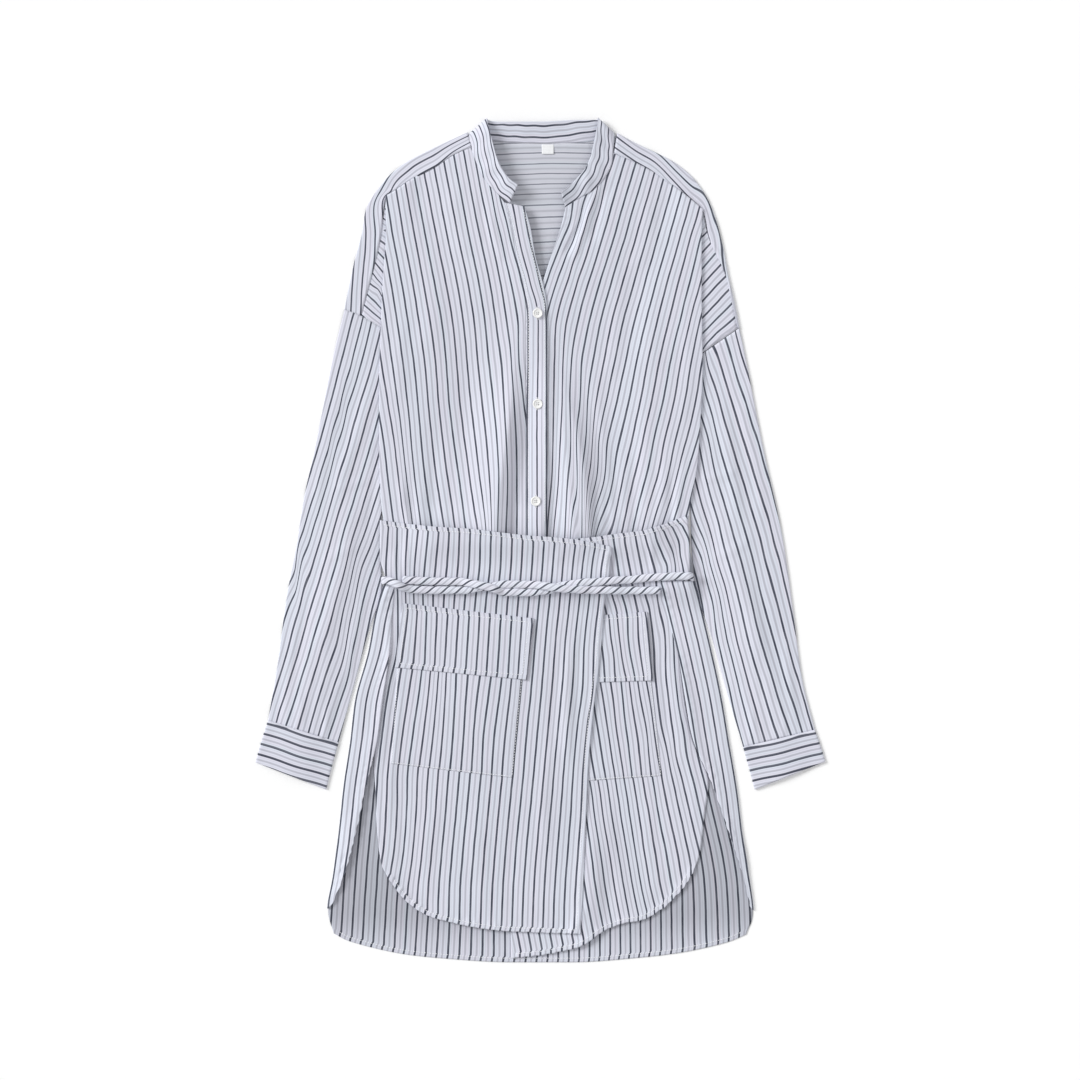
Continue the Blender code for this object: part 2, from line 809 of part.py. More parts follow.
def pockets():
    """Patch pockets and their flaps, made from the panels' own heights, moved out."""
    for panel, height, pouch, flap in (
        ("over", over_height, OVER_POUCH, OVER_FLAP),
        ("under", under_height, UNDER_POUCH, UNDER_FLAP),
    ):
        sheet("pocket_" + panel, [patch(pouch, 7, 7, lambda x, y: height(x, y) + POCKET_PITCH)])
        sheet("pocket_flap_" + panel, [patch(flap, 7, 4, lambda x, y: height(x, y) + 2 * POCKET_PITCH)])


# ---------------------------------------------------------------- belt, buttons, label


def smooth_between(table, value):
    """A table of points read at x, eased between its rows."""
    rows = sorted(table)
    if value <= rows[0][0]:
        return rows[0][1]
    for low, high in zip(rows, rows[1:]):
        if value <= high[0]:
            return mix(low[1], high[1], ramp(value, low[0], high[0]))
    return rows[-1][1]


def belt_contact(x):
    """Height that one strand must rise to pass over the other at x."""
    if not BELT_STRAND_B[0][0] - 4 < x < BELT_FRONT_END_A + 4:
        return 0.0
    apart = abs(smooth_between(BELT_STRAND_A, x) - smooth_between(BELT_STRAND_B, x))
    share = apart / (BELT_WIDTH + BELT_CLEARANCE)
    return (BELT_HEIGHT + BELT_CLEARANCE) * math.sqrt(max(0.0, 1 - share * share))


def belt_points():
    """Centreline of the belt with its half height: x, y, z, half height."""
    half = BELT_HEIGHT / 2

    def on_dress(x, y, lift):
        rest = mix(over_height(x, y), under_height(x, y), ramp(x, *BELT_OFF_OVER_PANEL))
        return (x, y, rest + CLOTH / 2 + BELT_CLEARANCE + half + lift, half)

    def strand(table, start, end, on_top):
        count = round(abs(end - start) / BELT_STEP)
        points = []
        for i in range(count + 1):
            x = mix(start, end, i / count)
            lift = belt_contact(x) if on_top(x) else 0.0
            points.append(on_dress(x, smooth_between(table, x), lift))
        return points

    def a_on_top(x):
        return x < BELT_A_OVER_BEFORE or x > BELT_A_OVER_AFTER

    b_run = strand(BELT_STRAND_B, BELT_STRAND_B[0][0], BELT_STRAND_B[-1][0], lambda x: not a_on_top(x))
    a_run = strand(BELT_STRAND_A, BELT_STRAND_A[0][0], BELT_FRONT_END_A, a_on_top)
    back_half = BELT_BACK_HEIGHT / 2
    back_z = back_half + BELT_FLOOR_GAP

    def side(front_end, turn_x, outward):
        """Half ellipse from the front of one side to the back."""
        points = []
        reach = abs(turn_x - front_end[0])
        for i in range(1, BELT_SIDE_POINTS + 1):
            angle = math.pi * i / (BELT_SIDE_POINTS + 1)
            share = (1 - math.cos(angle)) / 2
            points.append(
                (
                    front_end[0] + outward * reach * math.sin(angle) ** 0.5,
                    mix(front_end[1], BELT_BACK_Y, share),
                    mix(front_end[2], back_z, share),
                    mix(half, back_half, share),
                )
            )
        return points

    left_x, right_x = BELT_STRAND_B[-1][0], BELT_STRAND_A[0][0]
    back = [
        (mix(left_x, right_x, i / BELT_BACK_POINTS), BELT_BACK_Y, back_z, back_half)
        for i in range(BELT_BACK_POINTS + 1)
    ]
    left = side(b_run[-1], BELT_SIDE_LEFT, 1)
    right = side(a_run[0], BELT_SIDE_RIGHT, -1)
    return b_run + left + back + right[::-1] + a_run


def belt():
    """One sewn cord: its ends are twisted in front, and it runs round the back under the dress."""
    points = belt_points()
    bm = bmesh.new()
    rings = []
    for i, (x, y, z, half) in enumerate(points):
        before = Vector(points[max(0, i - 1)][:3])
        after = Vector(points[min(len(points) - 1, i + 1)][:3])
        along = (after - before).normalized()
        across = Vector((0, 1, 0))
        across = (across - along * across.dot(along)).normalized()
        up = along.cross(across)
        ring = []
        for k in range(BELT_SIDES):
            angle = 2 * math.pi * k / BELT_SIDES
            offset = across * (BELT_WIDTH / 2 * math.cos(angle)) + up * (half * math.sin(angle))
            ring.append(bm.verts.new((Vector((x, y, z)) + offset) * MM))
        rings.append(ring)
    for low, high in zip(rings, rings[1:]):
        for k in range(BELT_SIDES):
            j = (k + 1) % BELT_SIDES
            bm.faces.new((low[k], low[j], high[j], high[k]))
    bm.faces.new(rings[0])
    bm.faces.new(rings[-1])
    bmesh.ops.recalc_face_normals(bm, faces=bm.faces)
    mesh = bpy.data.meshes.new("belt")
    bm.to_mesh(mesh)
    bm.free()
    mesh.shade_smooth()
    object_from("belt", mesh, FABRIC)


def buttons():
    """Round buttons with a rim, a dished middle and four holes."""
    outline = (
        (BUTTON_RADIUS - BUTTON_BEVEL, 0.0),
        (BUTTON_RADIUS, BUTTON_BEVEL),
        (BUTTON_RADIUS, BUTTON_HEIGHT - BUTTON_BEVEL),
        (BUTTON_RADIUS - BUTTON_BEVEL, BUTTON_HEIGHT),
        (BUTTON_RADIUS - BUTTON_RIM, BUTTON_HEIGHT),
        (BUTTON_RADIUS - BUTTON_RIM - BUTTON_BEVEL, BUTTON_HEIGHT - BUTTON_DISH),
    )
    sides = BUTTON_SIDES
    for number, (x, y) in enumerate(BUTTON_CENTRES, start=1):
        under = max(placket_height(x, y + off) for off in (-BUTTON_RADIUS, 0, BUTTON_RADIUS))
        seat = under + CLOTH / 2 + BUTTON_SEAT_GAP
        bm = bmesh.new()
        rings = []
        for radius, height in outline:
            ring = []
            for k in range(sides):
                angle = 2 * math.pi * k / sides
                point = Vector((radius * math.cos(angle), radius * math.sin(angle), height))
                ring.append(bm.verts.new(point * MM))
            rings.append(ring)
        for low, high in zip(rings, rings[1:]):
            for k in range(sides):
                j = (k + 1) % sides
                bm.faces.new((low[k], low[j], high[j], high[k]))
        bm.faces.new(rings[0][::-1])
        bm.faces.new(rings[-1])
        bmesh.ops.recalc_face_normals(bm, faces=bm.faces)
        mesh = bpy.data.meshes.new(f"button_{number}")
        bm.to_mesh(mesh)
        bm.free()
        made = object_from(f"button_{number}", mesh, SHELL_WHITE)
        made.location = Vector((x, y, seat)) * MM
        for hole in range(4):
            angle = math.pi / 4 + hole * math.pi / 2
            offset = Vector((math.cos(angle), math.sin(angle), 0)) * BUTTON_HOLE_OFFSET
            bpy.ops.mesh.primitive_cylinder_add(
                vertices=8,
                radius=BUTTON_HOLE_RADIUS * MM,
                depth=3 * BUTTON_HEIGHT * MM,
                location=(Vector((x, y, seat)) + offset) * MM,
            )
            cutter = bpy.context.object
            cutter.name = f"button_{number}_hole_{hole + 1}"
            cutter.display_type = "WIRE"
            cutter.hide_render = True
            cut = made.modifiers.new(f"hole_{hole + 1}", "BOOLEAN")
            cut.operation = "DIFFERENCE"
            cut.solver = "EXACT"
            cut.object = cutter


def size_label():
    """A small bare tape sewn in at the neck seam, on the inside of the back yoke."""
    height = CLOTH + SEAM_GAP + LABEL_WALL / 2
    corners = (
        (LABEL_LEFT, LABEL_TOP),
        (LABEL_RIGHT, LABEL_TOP),
        (LABEL_RIGHT, LABEL_BOTTOM),
        (LABEL_LEFT, LABEL_BOTTOM),
    )
    sheet("size_label", [patch(corners, 3, 3, lambda x, y: height)], wall=LABEL_WALL, finish=TAPE_WHITE)


def main():
    for old in list(bpy.data.objects):
        bpy.data.objects.remove(old, do_unlink=True)
    yoke()
    collar_band()
    front(
        "front_right",
        FRONT_RIGHT_TOP,
        FRONT_RIGHT_ROWS,
        DROP_RIGHT_SEAM,
        ARMHOLE_RIGHT,
        right_front_height,
        -1,
    )
    front("front_left", FRONT_LEFT_TOP, FRONT_LEFT_ROWS, DROP_LEFT_SEAM, ARMHOLE_LEFT, front_height, 1)
    placket()
    bodice_back()
    sleeves()
    cuffs()
    skirt_panel("skirt_over", OVER_TOP, OVER_ROWS, OVER_HEM, 9, over_height)
    skirt_panel("skirt_under", UNDER_TOP, UNDER_ROWS, UNDER_HEM, 8, under_height)
    skirt_back()
    pockets()
    belt()
    buttons()
    size_label()


main()
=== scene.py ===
"""Looks of a striped shirt dress that lies flat: thin cloth on the form of the frame's solids, stripes that
follow the cut, hems, seams, stitches, buttons and a sewn cord belt.

Units of the tables are millimetres. The dress lies face up, its hem towards -Y. "Right" and "left" are the
wearer's, so right is at -X. Every height is worked out from the order of the layers, as in the solids.
"""

import math

import bpy
import numpy as np
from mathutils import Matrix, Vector
from mathutils.bvhtree import BVHTree


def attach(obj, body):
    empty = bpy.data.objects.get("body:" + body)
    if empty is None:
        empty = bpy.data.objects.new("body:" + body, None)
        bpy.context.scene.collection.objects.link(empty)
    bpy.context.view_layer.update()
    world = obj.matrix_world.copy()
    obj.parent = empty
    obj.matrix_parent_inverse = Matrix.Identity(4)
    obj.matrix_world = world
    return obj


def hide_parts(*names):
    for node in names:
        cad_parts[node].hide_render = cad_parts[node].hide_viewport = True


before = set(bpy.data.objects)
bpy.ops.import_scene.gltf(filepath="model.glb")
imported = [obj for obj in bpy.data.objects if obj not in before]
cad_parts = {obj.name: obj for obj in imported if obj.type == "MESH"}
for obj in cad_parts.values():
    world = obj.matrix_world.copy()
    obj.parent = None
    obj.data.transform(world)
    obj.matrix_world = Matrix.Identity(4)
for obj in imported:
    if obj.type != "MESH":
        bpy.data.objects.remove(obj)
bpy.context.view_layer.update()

MM = 0.001

# ---------------------------------------------------------------- sizes of the solids

CLOTH = 1.0
PITCH = 1.4  # from one layer to the next
POCKET_PITCH = 1.8
POCKET_LAYER = 0.85  # the same between the thin cloths of the pockets
RIDGE_HEIGHT = 3.9
RIDGE_HALF_WIDTH = 36.0
NECK_RISE = 6.0
NECK_CENTRE = (1.0, 355.0)
NECK_REACH = 190.0
SLEEVE_PUFF = 3.2
CUFF_PUFF = 1.5
BAND_STAND = 4.0
BAND_STAND_BACK = 1.0
BAND_ROLL = 0.6
TURN_UNDER = 6.0

BELT_WIDTH = 7.5
BELT_HEIGHT = 4.5
BELT_BACK_HEIGHT = 3.0
BELT_CLEARANCE = 0.4
BELT_BACK_Y = -42.0
BELT_STEP = 12.0
BELT_SIDE_POINTS = 5
BELT_BACK_POINTS = 14
BELT_FLOOR_GAP = 0.1
BELT_OFF_OVER_PANEL = (78, 96)

BUTTON_RADIUS = 5.3
BUTTON_HEIGHT = 2.4
BUTTON_SEAT_GAP = 0.3
BUTTON_CENTRES = ((-3.0, 240.0), (-3.0, 144.0), (-5.0, 41.0))
LABEL_LEFT, LABEL_RIGHT, LABEL_TOP, LABEL_BOTTOM = 1.5, 14.0, 419.0, 409.0

# Heights on the body where the layers change
SHIRT_OFF_HEADER = (22, 40)
SLEEVE_UNDER_FRONT = (22, 45)
PLACKET_LAPS = (335, 285)
PLACKET_SLOPE = (-48, -17)
HEADER_ON_SHIRT = (-78, -46)
PLACKET_UNDER_HEADER = (-80, -48)
HEADER_OFF_PLACKET = (30, 100)
OVER_ON_UNDER = (-135, -52)
POCKET_HIDDEN_TOP = (-48, -70)
POUCH_HIDDEN_END = (-340, -266)
FLAP_HIDDEN_END = (-245, -163)
SIDE_SLOPE = (45, 22)
SIDE_SLOPE_Y = (310, 360)
SLEEVE_FULL = ((100, -60), (-240, -150))

# ---------------------------------------------------------------- outlines of the pieces

# Armhole seams, from the shoulder to the underarm: x, y
ARMHOLE_RIGHT = ((-207, 244), (-191, 238), (-168, 225), (-145, 213), (-122, 201))
ARMHOLE_LEFT = ((210, 224), (191, 211), (172, 198), (148, 187), (123, 177))
# Seam of the yoke with the back panel: x, y
BACK_YOKE_SEAM = ((-199, 241), (-170, 248), (-100, 253), (1, 254), (109, 250), (158, 241), (191, 211))

# Yoke sections: seam x, y with the front; fold x, y at the shoulder; back x on the seam with the back
YOKE_RIGHT = (
    (-191, 238, -207, 244, -199), (-180, 278, -198, 288, -187), (-170, 321, -189, 322, -170),
    (-163, 365, -179, 361, -153), (-153, 371, -162, 383, -136), (-134, 384, -142, 399, -119),
    (-113, 395, -119, 411, -100), (-92, 409, -97, 421, -81), (-72.5, 417, -76.5, 430, -62),
)
YOKE_LEFT = (
    (78, 410, 81, 429, 66), (100, 401, 100, 419, 87), (121, 390, 122, 409, 109),
    (140, 376, 143, 398, 127), (157, 363, 161, 383, 144), (171, 351, 173, 367, 158),
    (179, 320, 186, 337, 172), (187, 303, 193.3, 307, 183), (196.2, 283.4, 197.2, 283.9, 189),
    (203, 255, 203.8, 255.3, 190.3), (209.4, 225.2, 210.2, 224.6, 191),
)
NECK_BACK = ((-74, 427), (-46, 422), (1, 420), (52, 422), (76, 426))
NECK_BACK_X = (-55, -43, 1, 47, 59)

# Collar band: seam x, seam y, free edge x, free edge y, side (1 front, 0 back)
BAND = (
    (-32, 357, -24, 375, 1.0), (-48, 370, -34, 383, 1.0), (-59, 383, -44, 399, 1.0),
    (-69, 404, -51, 422, 1.0), (-74, 420, -55, 437, 0.95), (-76, 430, -57, 446.4, 0.5),
    (-74, 428, -55, 444.6, 0.0), (-46, 423, -38, 443, 0.0), (1, 421, 1, 443, 0.0),
    (52, 423, 42, 445, 0.0), (76, 427, 59, 445, 0.0), (78, 431, 61, 447, 0.5), (77, 419, 59, 433, 0.95),
    (74, 395, 52, 403, 1.0), (58, 373, 45, 390, 1.0), (42, 363, 33, 377, 1.0), (26, 353, 22, 367, 1.0),
)

# Fronts. Top edge: x, y
FRONT_RIGHT_TOP = (
    (-163, 365), (-153, 371), (-134, 384), (-113, 395), (-92, 409), (-75, 416), (-69, 404), (-59, 383),
    (-48, 370), (-38, 357),
)
# Rows below it: fold x, y at the side; edge x, y at the placket; x where the turned cloth ends
FRONT_RIGHT_ROWS = (
    (-163, 321, -31, 333, -152), (-166, 278, -25, 299, -145), (-169, 205, -17, 266, -122),
    (-170, 165, -15, 244, -124), (-170, 125, -15, 200, -133), (-170, 90, -15, 140, -142),
    (-169, 60, -15, 85, -150), (-168, 40, -15, 40, -153), (-166, 22, -15, 22, -155),
    (-164, 8, -15, 8, -155), (-162, -6, -15, -6, -154), (-162, -18, -15, -18, -154),
    (-162, -30, -15, -30, -154), (-161, -42, -15, -42, -153),
)
DROP_RIGHT_SEAM = ((-163, 365), (-170, 321), (-180, 278))
FRONT_LEFT_TOP = (
    (171, 351), (157, 363), (140, 376), (121, 390), (100, 401), (78, 410), (74, 395), (58, 373),
    (42, 363), (27, 353),
)
FRONT_LEFT_ROWS = (
    (170, 320, 19, 323, 160), (170, 295, 13, 306, 155), (170, 260, 3, 275, 148), (171, 182, -7, 244, 123),
    (170, 150, -12, 215, 124), (168, 118, -12, 175, 129), (166, 85, -12, 130, 136),
    (162, 60, -12, 85, 143), (158, 40, -12, 40, 146), (156, 22, -12, 22, 147), (155, 8, -12, 8, 147),
    (154, -6, -12, -6, 146), (154, -18, -12, -18, 146), (154, -30, -12, -30, 146),
    (153, -42, -12, -42, 145),
)
DROP_LEFT_SEAM = ((171, 351), (179, 320), (187, 303), (199, 275))

# Placket: x, y of its edge on the right; x, y of its edge on the left
PLACKET_ROWS = (
    (-38, 357, -17, 353), (-31, 333, -11, 333), (-25, 299, -5, 299), (-17, 266, 4, 266),
    (-15, 244, 7, 244), (-15, 200, 7, 200), (-15, 140, 7, 140), (-15, 85, 7, 85), (-15, 40, 7, 40),
    (-15, 22, 7, 22), (-15, 8, 7, 8), (-15, -18, 7, -18), (-15, -42, 7, -42),
)

# Back of the shirt below the yoke: side x, side y on the right and on the left
BACK_ROWS = (
    (-191, 238, 184, 206), (-168, 225, 172, 198), (-145, 213, 148, 187), (-119, 200, 120, 176),
    (-130, 150, 129, 140), (-146, 95, 139, 90), (-155, 60, 147, 60), (-158, 40, 151, 40),
    (-162, 22, 153, 22), (-161, 8, 153, 8), (-160, -6, 152, -6), (-160, -18, 152, -18),
    (-160, -30, 152, -30), (-159, -42, 151, -42),
)

# Sleeves and cuffs: outer x, outer y; inner x, inner y
SLEEVE_RIGHT_ROWS = (
    (-218, 198, -134, 160), (-228, 148, -149, 118), (-239, 93, -162, 66), (-250, 43, -170, 16),
    (-258, -8, -170, -21), (-264, -38, -169, -50), (-269, -67, -182, -93), (-278, -134, -197, -148),
    (-288, -192, -215, -215),
)
SLEEVE_LEFT_ROWS = (
    (220, 175, 135, 136), (229, 127, 147, 90), (240, 74, 159, 40), (251, 26, 161, -5), (256, 0, 163, -30),
    (260, -26, 167, -56), (268, -85, 182, -102), (276, -146, 196, -153), (290, -202, 216, -220),
)
CUFF_RIGHT_ROWS = ((-288, -192, -215, -215), (-295, -214, -222, -240), (-301, -236, -228, -264))
CUFF_LEFT_ROWS = ((290, -202, 216, -220), (296, -219, 222, -242), (301, -235, 228, -264))

# Skirt panels: top edge, rows (right x, y; left x, y), hem
OVER_TOP = ((-170, 21), (-151, 19), (-127, 15), (-75, 12), (-7, 4), (32, 2), (75, -7))
OVER_ROWS = (
    (-170, 8, 75, -11), (-170, -6, 75, -14), (-170, -18, 74, -18), (-167, -30, 73, -30),
    (-163, -42, 72, -42), (-160, -54, 70, -54), (-159, -66, 68, -66), (-160, -78, 67, -78),
    (-163, -127, 63, -127), (-168, -164, 58, -164), (-173, -200, 54, -200), (-176.5, -233, 51, -235),
    (-175, -265, 49, -280), (-173, -310, 47, -325), (-169, -341, 45, -370),
)
OVER_HEM = ((-161, -359), (-148, -378), (-120, -398), (-80, -409), (-40, -414), (2, -416), (42, -417))
UNDER_TOP = ((-29, -1), (5, -1), (37, 0), (76, 6), (109, 10), (129, 16), (155, 26))
UNDER_ROWS = (
    (-29, -5, 157, 12), (-29, -10, 158, -3), (-29, -18, 158, -18), (-29, -30, 158, -30),
    (-30, -42, 156, -42), (-30, -54, 152, -54), (-30, -66, 146, -66), (-30, -78, 145, -78),
    (-30, -127, 148, -127), (-30, -170, 153, -170), (-31, -215, 161, -211), (-31, -262, 178, -255),
    (-31, -330, 174, -290), (-32, -390, 169, -331),
)
UNDER_HEM = ((-31, -443), (1, -440), (22, -436), (40, -431.5), (51, -426), (64, -415.5), (77, -409.5))
UNDER_HEM += ((90, -405.5), (109, -403), (119, -397.5), (134, -387), (152.6, -367.5), (162.5, -350))
BACK_TOP = (-166, 22, 155, 22)
SKIRT_BACK_ROWS = (
    (-167, 8, 156, 8), (-167, -6, 157, -6), (-167, -18, 160, -18), (-165, -30, 162, -30),
    (-163, -42, 162, -42), (-167, -54, 165, -54), (-171, -66, 168, -66), (-174, -78, 171, -78),
    (-182, -120, 181, -120), (-195, -167, 191, -167), (-201, -215, 199, -215), (-208, -262, 207, -262),
    (-213, -310, 213, -310), (-219, -355, 219, -350), (-225, -392, 225, -394),
)
# Its sides folded forward, one row for each of the last rows above: edge x, y
BACK_FLAP_RIGHT = (
    (-155, -42), (-155, -54), (-156, -66), (-157, -78), (-160, -120), (-166, -163), (-173, -213),
    (-185, -262), (-195, -308), (-207, -352), (-222, -389),
)
BACK_FLAP_LEFT = (
    (127, -42), (128, -54), (131, -66), (134, -78), (145.5, -120), (153, -167), (162, -213), (182, -259),
    (199, -308), (213, -350), (223, -390),
)
BACK_HEM = (
    (-219, -417), (-200, -426), (-150, -438), (-95, -444), (-32, -447.4), (35, -447.4), (100, -443),
    (150, -437), (195, -427), (218, -418),
)
# Pockets: corners top right, top left, bottom left, bottom right as worn
OVER_POUCH = ((-148, -77), (-13, -92), (-29, -252), (-159, -237))
OVER_FLAP = ((-146, -67), (-7, -83), (-15, -148), (-154, -135))
UNDER_POUCH = ((-23, -89), (111, -86), (129, -250), (-9, -259))
UNDER_FLAP = ((-26, -86), (113, -76), (119, -149), (-22, -153))

# Belt strands in front, from the right side to the left side: x, y
BELT_STRAND_A = ((-162, -43), (-152, -47), (-140, -52), (-110, -53), (-82, -53), (-60, -50), (-38, -47))
BELT_STRAND_A += ((-12, -47), (8, -49), (28, -52), (60, -53), (100, -53.5), (127, -53))
BELT_STRAND_B = ((-146, -42), (-120, -43.5), (-85, -44), (-60, -48), (-38, -55), (-12, -55.5), (8, -53))
BELT_STRAND_B += ((28, -47), (52, -44.5), (93, -42), (125, -39), (154, -38))
BELT_FRONT_END_A = 127.0
BELT_A_OVER_BEFORE = -100.0
BELT_A_OVER_AFTER = -25.0
BELT_SIDE_RIGHT = -167.0
BELT_SIDE_LEFT = 160.5

# ---------------------------------------------------------------- looks of the cloth

THIN = 0.36  # wall of the poplin
HEM_WALL = 0.95  # wall of a hem, which is three layers sewn flat
HEM_BAND = 5.0  # width of the narrow hems
SEAM_BAND = 4.0  # width of the allowance that is pressed to one side of a seam
SEAM_OVERLAP = 0.9  # how far the upper piece of a seam reaches over the lower one
STRIPE_PITCH = 11.5
GRAIN_STEP = 3.0  # grid along the stripes
CROSS_STEP = 1.9  # grid across them
HIDDEN_STEP = 4.0  # grid of what no view shows
DROP_STEP = 2.0
PLACKET_STEP = 1.1
YOKE_STEP = 2.5
YOKE_CROSS_STEP = 1.6
NECK_COLUMNS = 61
YOKE_COLUMN = 50  # points from the neck to the seam with the back
COLLAR_STEP = 1.7
COLLAR_CROSS_STEP = 1.0
CUFF_STEP = 1.6
BACK_CROSS_STEP = 2.6
POCKET_STEP = 1.7
TUBE_CROSS_STEP = 2.2
FLAP_COLUMNS = 22
TURN_POINTS = 6
WELD = 0.02  # points of one piece that are nearer than this are one
STRIPE_REACH = 60  # how far stripes run on beyond their outer rows
CUFF_STRIPE_PITCH = 11.2
PLACKET_RISE = 0.35
SEAM_RISE = 0.3
COLLAR_OVERLAP = 0.7  # the same as SEAM_OVERLAP, of the collar on the neck
TURNED_AT_TOP = 8  # how far inside the top corner of a front its turned cloth ends
CRINKLE = 0.55  # of the skirt's hems
CRINKLE_REACH = 9.0
HEM_LIFT = 0.9
COLLAR_STAND = 3.2  # how much higher than its solid the free edge of the collar stands
LEFT_STAND = 0.35  # share of its height at the left front, which has been laid open
FLAP_LIFT = 2.2  # how far the free edges of the back panel's folded sides stand up
FLAP_AT_BELT = 1.6
FLAP_ON_PANEL = 0.8  # over the edges of the front panels
FLAP_FIRST_STRIPE = 11.5  # from its fold
FLAP_DROPS = {"top": 1.1, "bottom": 0.25, "right": 0.3, "left": -0.7}  # pocket flap, below its own level
POUCH_DROPS = {"top": 0.2, "bottom": 0.75, "right": 0.75, "left": 0.75}
FLAP_LEAST, POUCH_LEAST = 1.3, 0.75  # limits of the drops, where two edges meet

# Soft ridges (+) and troughs (-) of the fronts, gathered at the waist: x, y above; x, y below; height;
# half width
GATHERS = (  # these rise slowly from the right side and fall steeply
    (-31, 240, -45, -45, 9.0, 22), (-24, 200, -36, -45, 3.0, 12), (-84, 190, -92, -45, 1.0, 11),
    (6, 260, 5, -45, 4.6, 11), (22, 190, 38, -45, 2.0, 8), (18, 205, 61, -45, 9.0, 22),
    (60, 200, 82, -45, 1.6, 9),
)
FOLD_SWAY = 0.25  # of the crest of every fold, as a share of its half width
GATHER_LEAN = 2.4  # how much wider their rising side is
GATHER_FALL = 1.4  # 1 would be an even fall from the crest
LEAST_GAP = 0.6  # between the troughs of the front and the back of the shirt
SHIRT_FOLDS = (
    (-26, 200, -30, -45, -1.2, 7), (-98, 140, -102, -45, 1.2, 13), (-124, 110, -122, -45, 1.3, 12),
    (-140, 84, -134, 6, -0.9, 6), (-148, 74, -139, 4, 1.5, 6), (58, 90, 62, -45, -1.4, 7),
    (90, 130, 92, -45, 1.2, 12), (116, 180, 110, -45, 1.5, 14), (132, 100, 124, 0, 1.3, 9),
    (142, 84, 135, 14, -0.8, 6), (152, 90, 144, 16, 1.3, 6), (66, 388, 33, 296, 1.6, 5),
    (78, 388, 52, 316, -1.6, 8), (55, 372, 26, 300, -1.9, 6), (44, 352, 34, 322, 0.9, 4),
    (-54, 358, -42, 296, 1.3, 8), (-68, 376, -54, 312, -0.8, 7), (-92, 392, -84, 300, 1.1, 16),
    (118, 372, 104, 286, 1.1, 15), (-120, 330, -112, 190, 0.9, 20), (128, 300, 112, 180, 0.9, 18),
    (92, 300, 70, 170, 0.9, 14), (-150, 260, -146, 150, 0.8, 12), (156, 250, 152, 120, 0.9, 12),
)
FOLDS_PRESSED = (-20, 14)  # y over which the header and the belt press them flat
HEADER_LIFT = 7.0  # how far the header stands off the gathers at its top edge
HEADER_LIFT_Y = (-32, 0)
HEADER_LIFT_X = (112, 150)

# The same on the skirt
SKIRT_FOLDS = (
    (-157, -6, -154, -36, 1.0, 5), (-148, 8, -150, -36, -0.9, 4), (-141, 10, -144, -34, 0.9, 5),
    (-118, 2, -116, -34, 0.5, 9), (20, -6, 17, -36, 0.7, 8), (44, -10, 40, -36, -0.5, 6),
    (113, 4, 121, -34, 1.2, 5), (106, 0, 118, -30, -0.7, 5), (134, 6, 140, -30, 0.9, 8),
    (34, -84, 26, -236, 1.3, 9), (20, -100, 14, -220, -0.7, 8), (46, -70, 38, -200, -0.6, 6),
    (8, -190, 4, -330, 0.9, 11), (-60, -262, -66, -392, 0.7, 16), (-112, -250, -120, -378, 0.8, 14),
    (-30, -280, -28, -400, -0.5, 12), (-150, -130, -160, -300, 0.9, 8), (-141, -250, -150, -352, -0.5, 7),
    (72, -250, 86, -392, 0.7, 9), (50, -240, 54, -440, 3.2, 26), (-158, -48, -168, -245, 1.6, 8),
    (60, -270, 70, -400, -0.6, 8), (108, -240, 124, -372, 0.7, 12), (136, -84, 150, -240, 0.8, 8),
    (124, -90, 134, -220, -0.6, 6), (150, -190, 166, -300, 0.6, 7), (60, -380, 20, -428, 0.9, 9),
)
OVER_FOLDS = (  # of the upper panel alone, at its free corner
    (77, 4, 71, -40, 2.4, 11), (66, -62, 50, -250, 0.7, 7),
)
BELT_PRESS = (-47.0, 17.0)  # y, half width of the strip that the belt presses flat

# Folds of the sleeves: x, y above; x, y below; height; half width
SLEEVE_RIGHT_FOLDS = (
    (-176, 190, -214, 40, 1.5, 12), (-206, 200, -240, 30, 0.9, 10), (-160, 140, -186, 10, -0.9, 9),
    (-190, 60, -236, -120, 1.3, 13), (-224, 20, -262, -150, -0.8, 10), (-180, -30, -206, -150, 1.0, 9),
    (-206, -120, -228, -212, 0.9, 8), (-232, -110, -246, -205, -0.7, 7), (-256, -60, -272, -196, 0.9, 9),
    (-222, -170, -234, -216, 1.0, 5), (-252, -160, -260, -205, 0.8, 5), (-176, 70, -214, 52, 0.8, 8),
    (-186, -6, -232, -22, 0.7, 9),
)
SLEEVE_LEFT_FOLDS = (
    (182, 168, 214, 20, 1.5, 12), (206, 180, 238, 20, 0.9, 10), (160, 120, 184, -10, -0.9, 9),
    (192, 40, 232, -130, 1.3, 13), (222, 10, 256, -160, -0.8, 10), (178, -50, 204, -160, 1.0, 9),
    (206, -120, 226, -216, 0.9, 8), (228, -110, 244, -210, -0.7, 7), (252, -60, 274, -204, 0.9, 9),
    (222, -170, 232, -216, 1.0, 5), (250, -166, 260, -206, 0.8, 5), (164, 58, 208, 76, 0.8, 8),
    (172, -20, 224, -2, 0.7, 9),
)

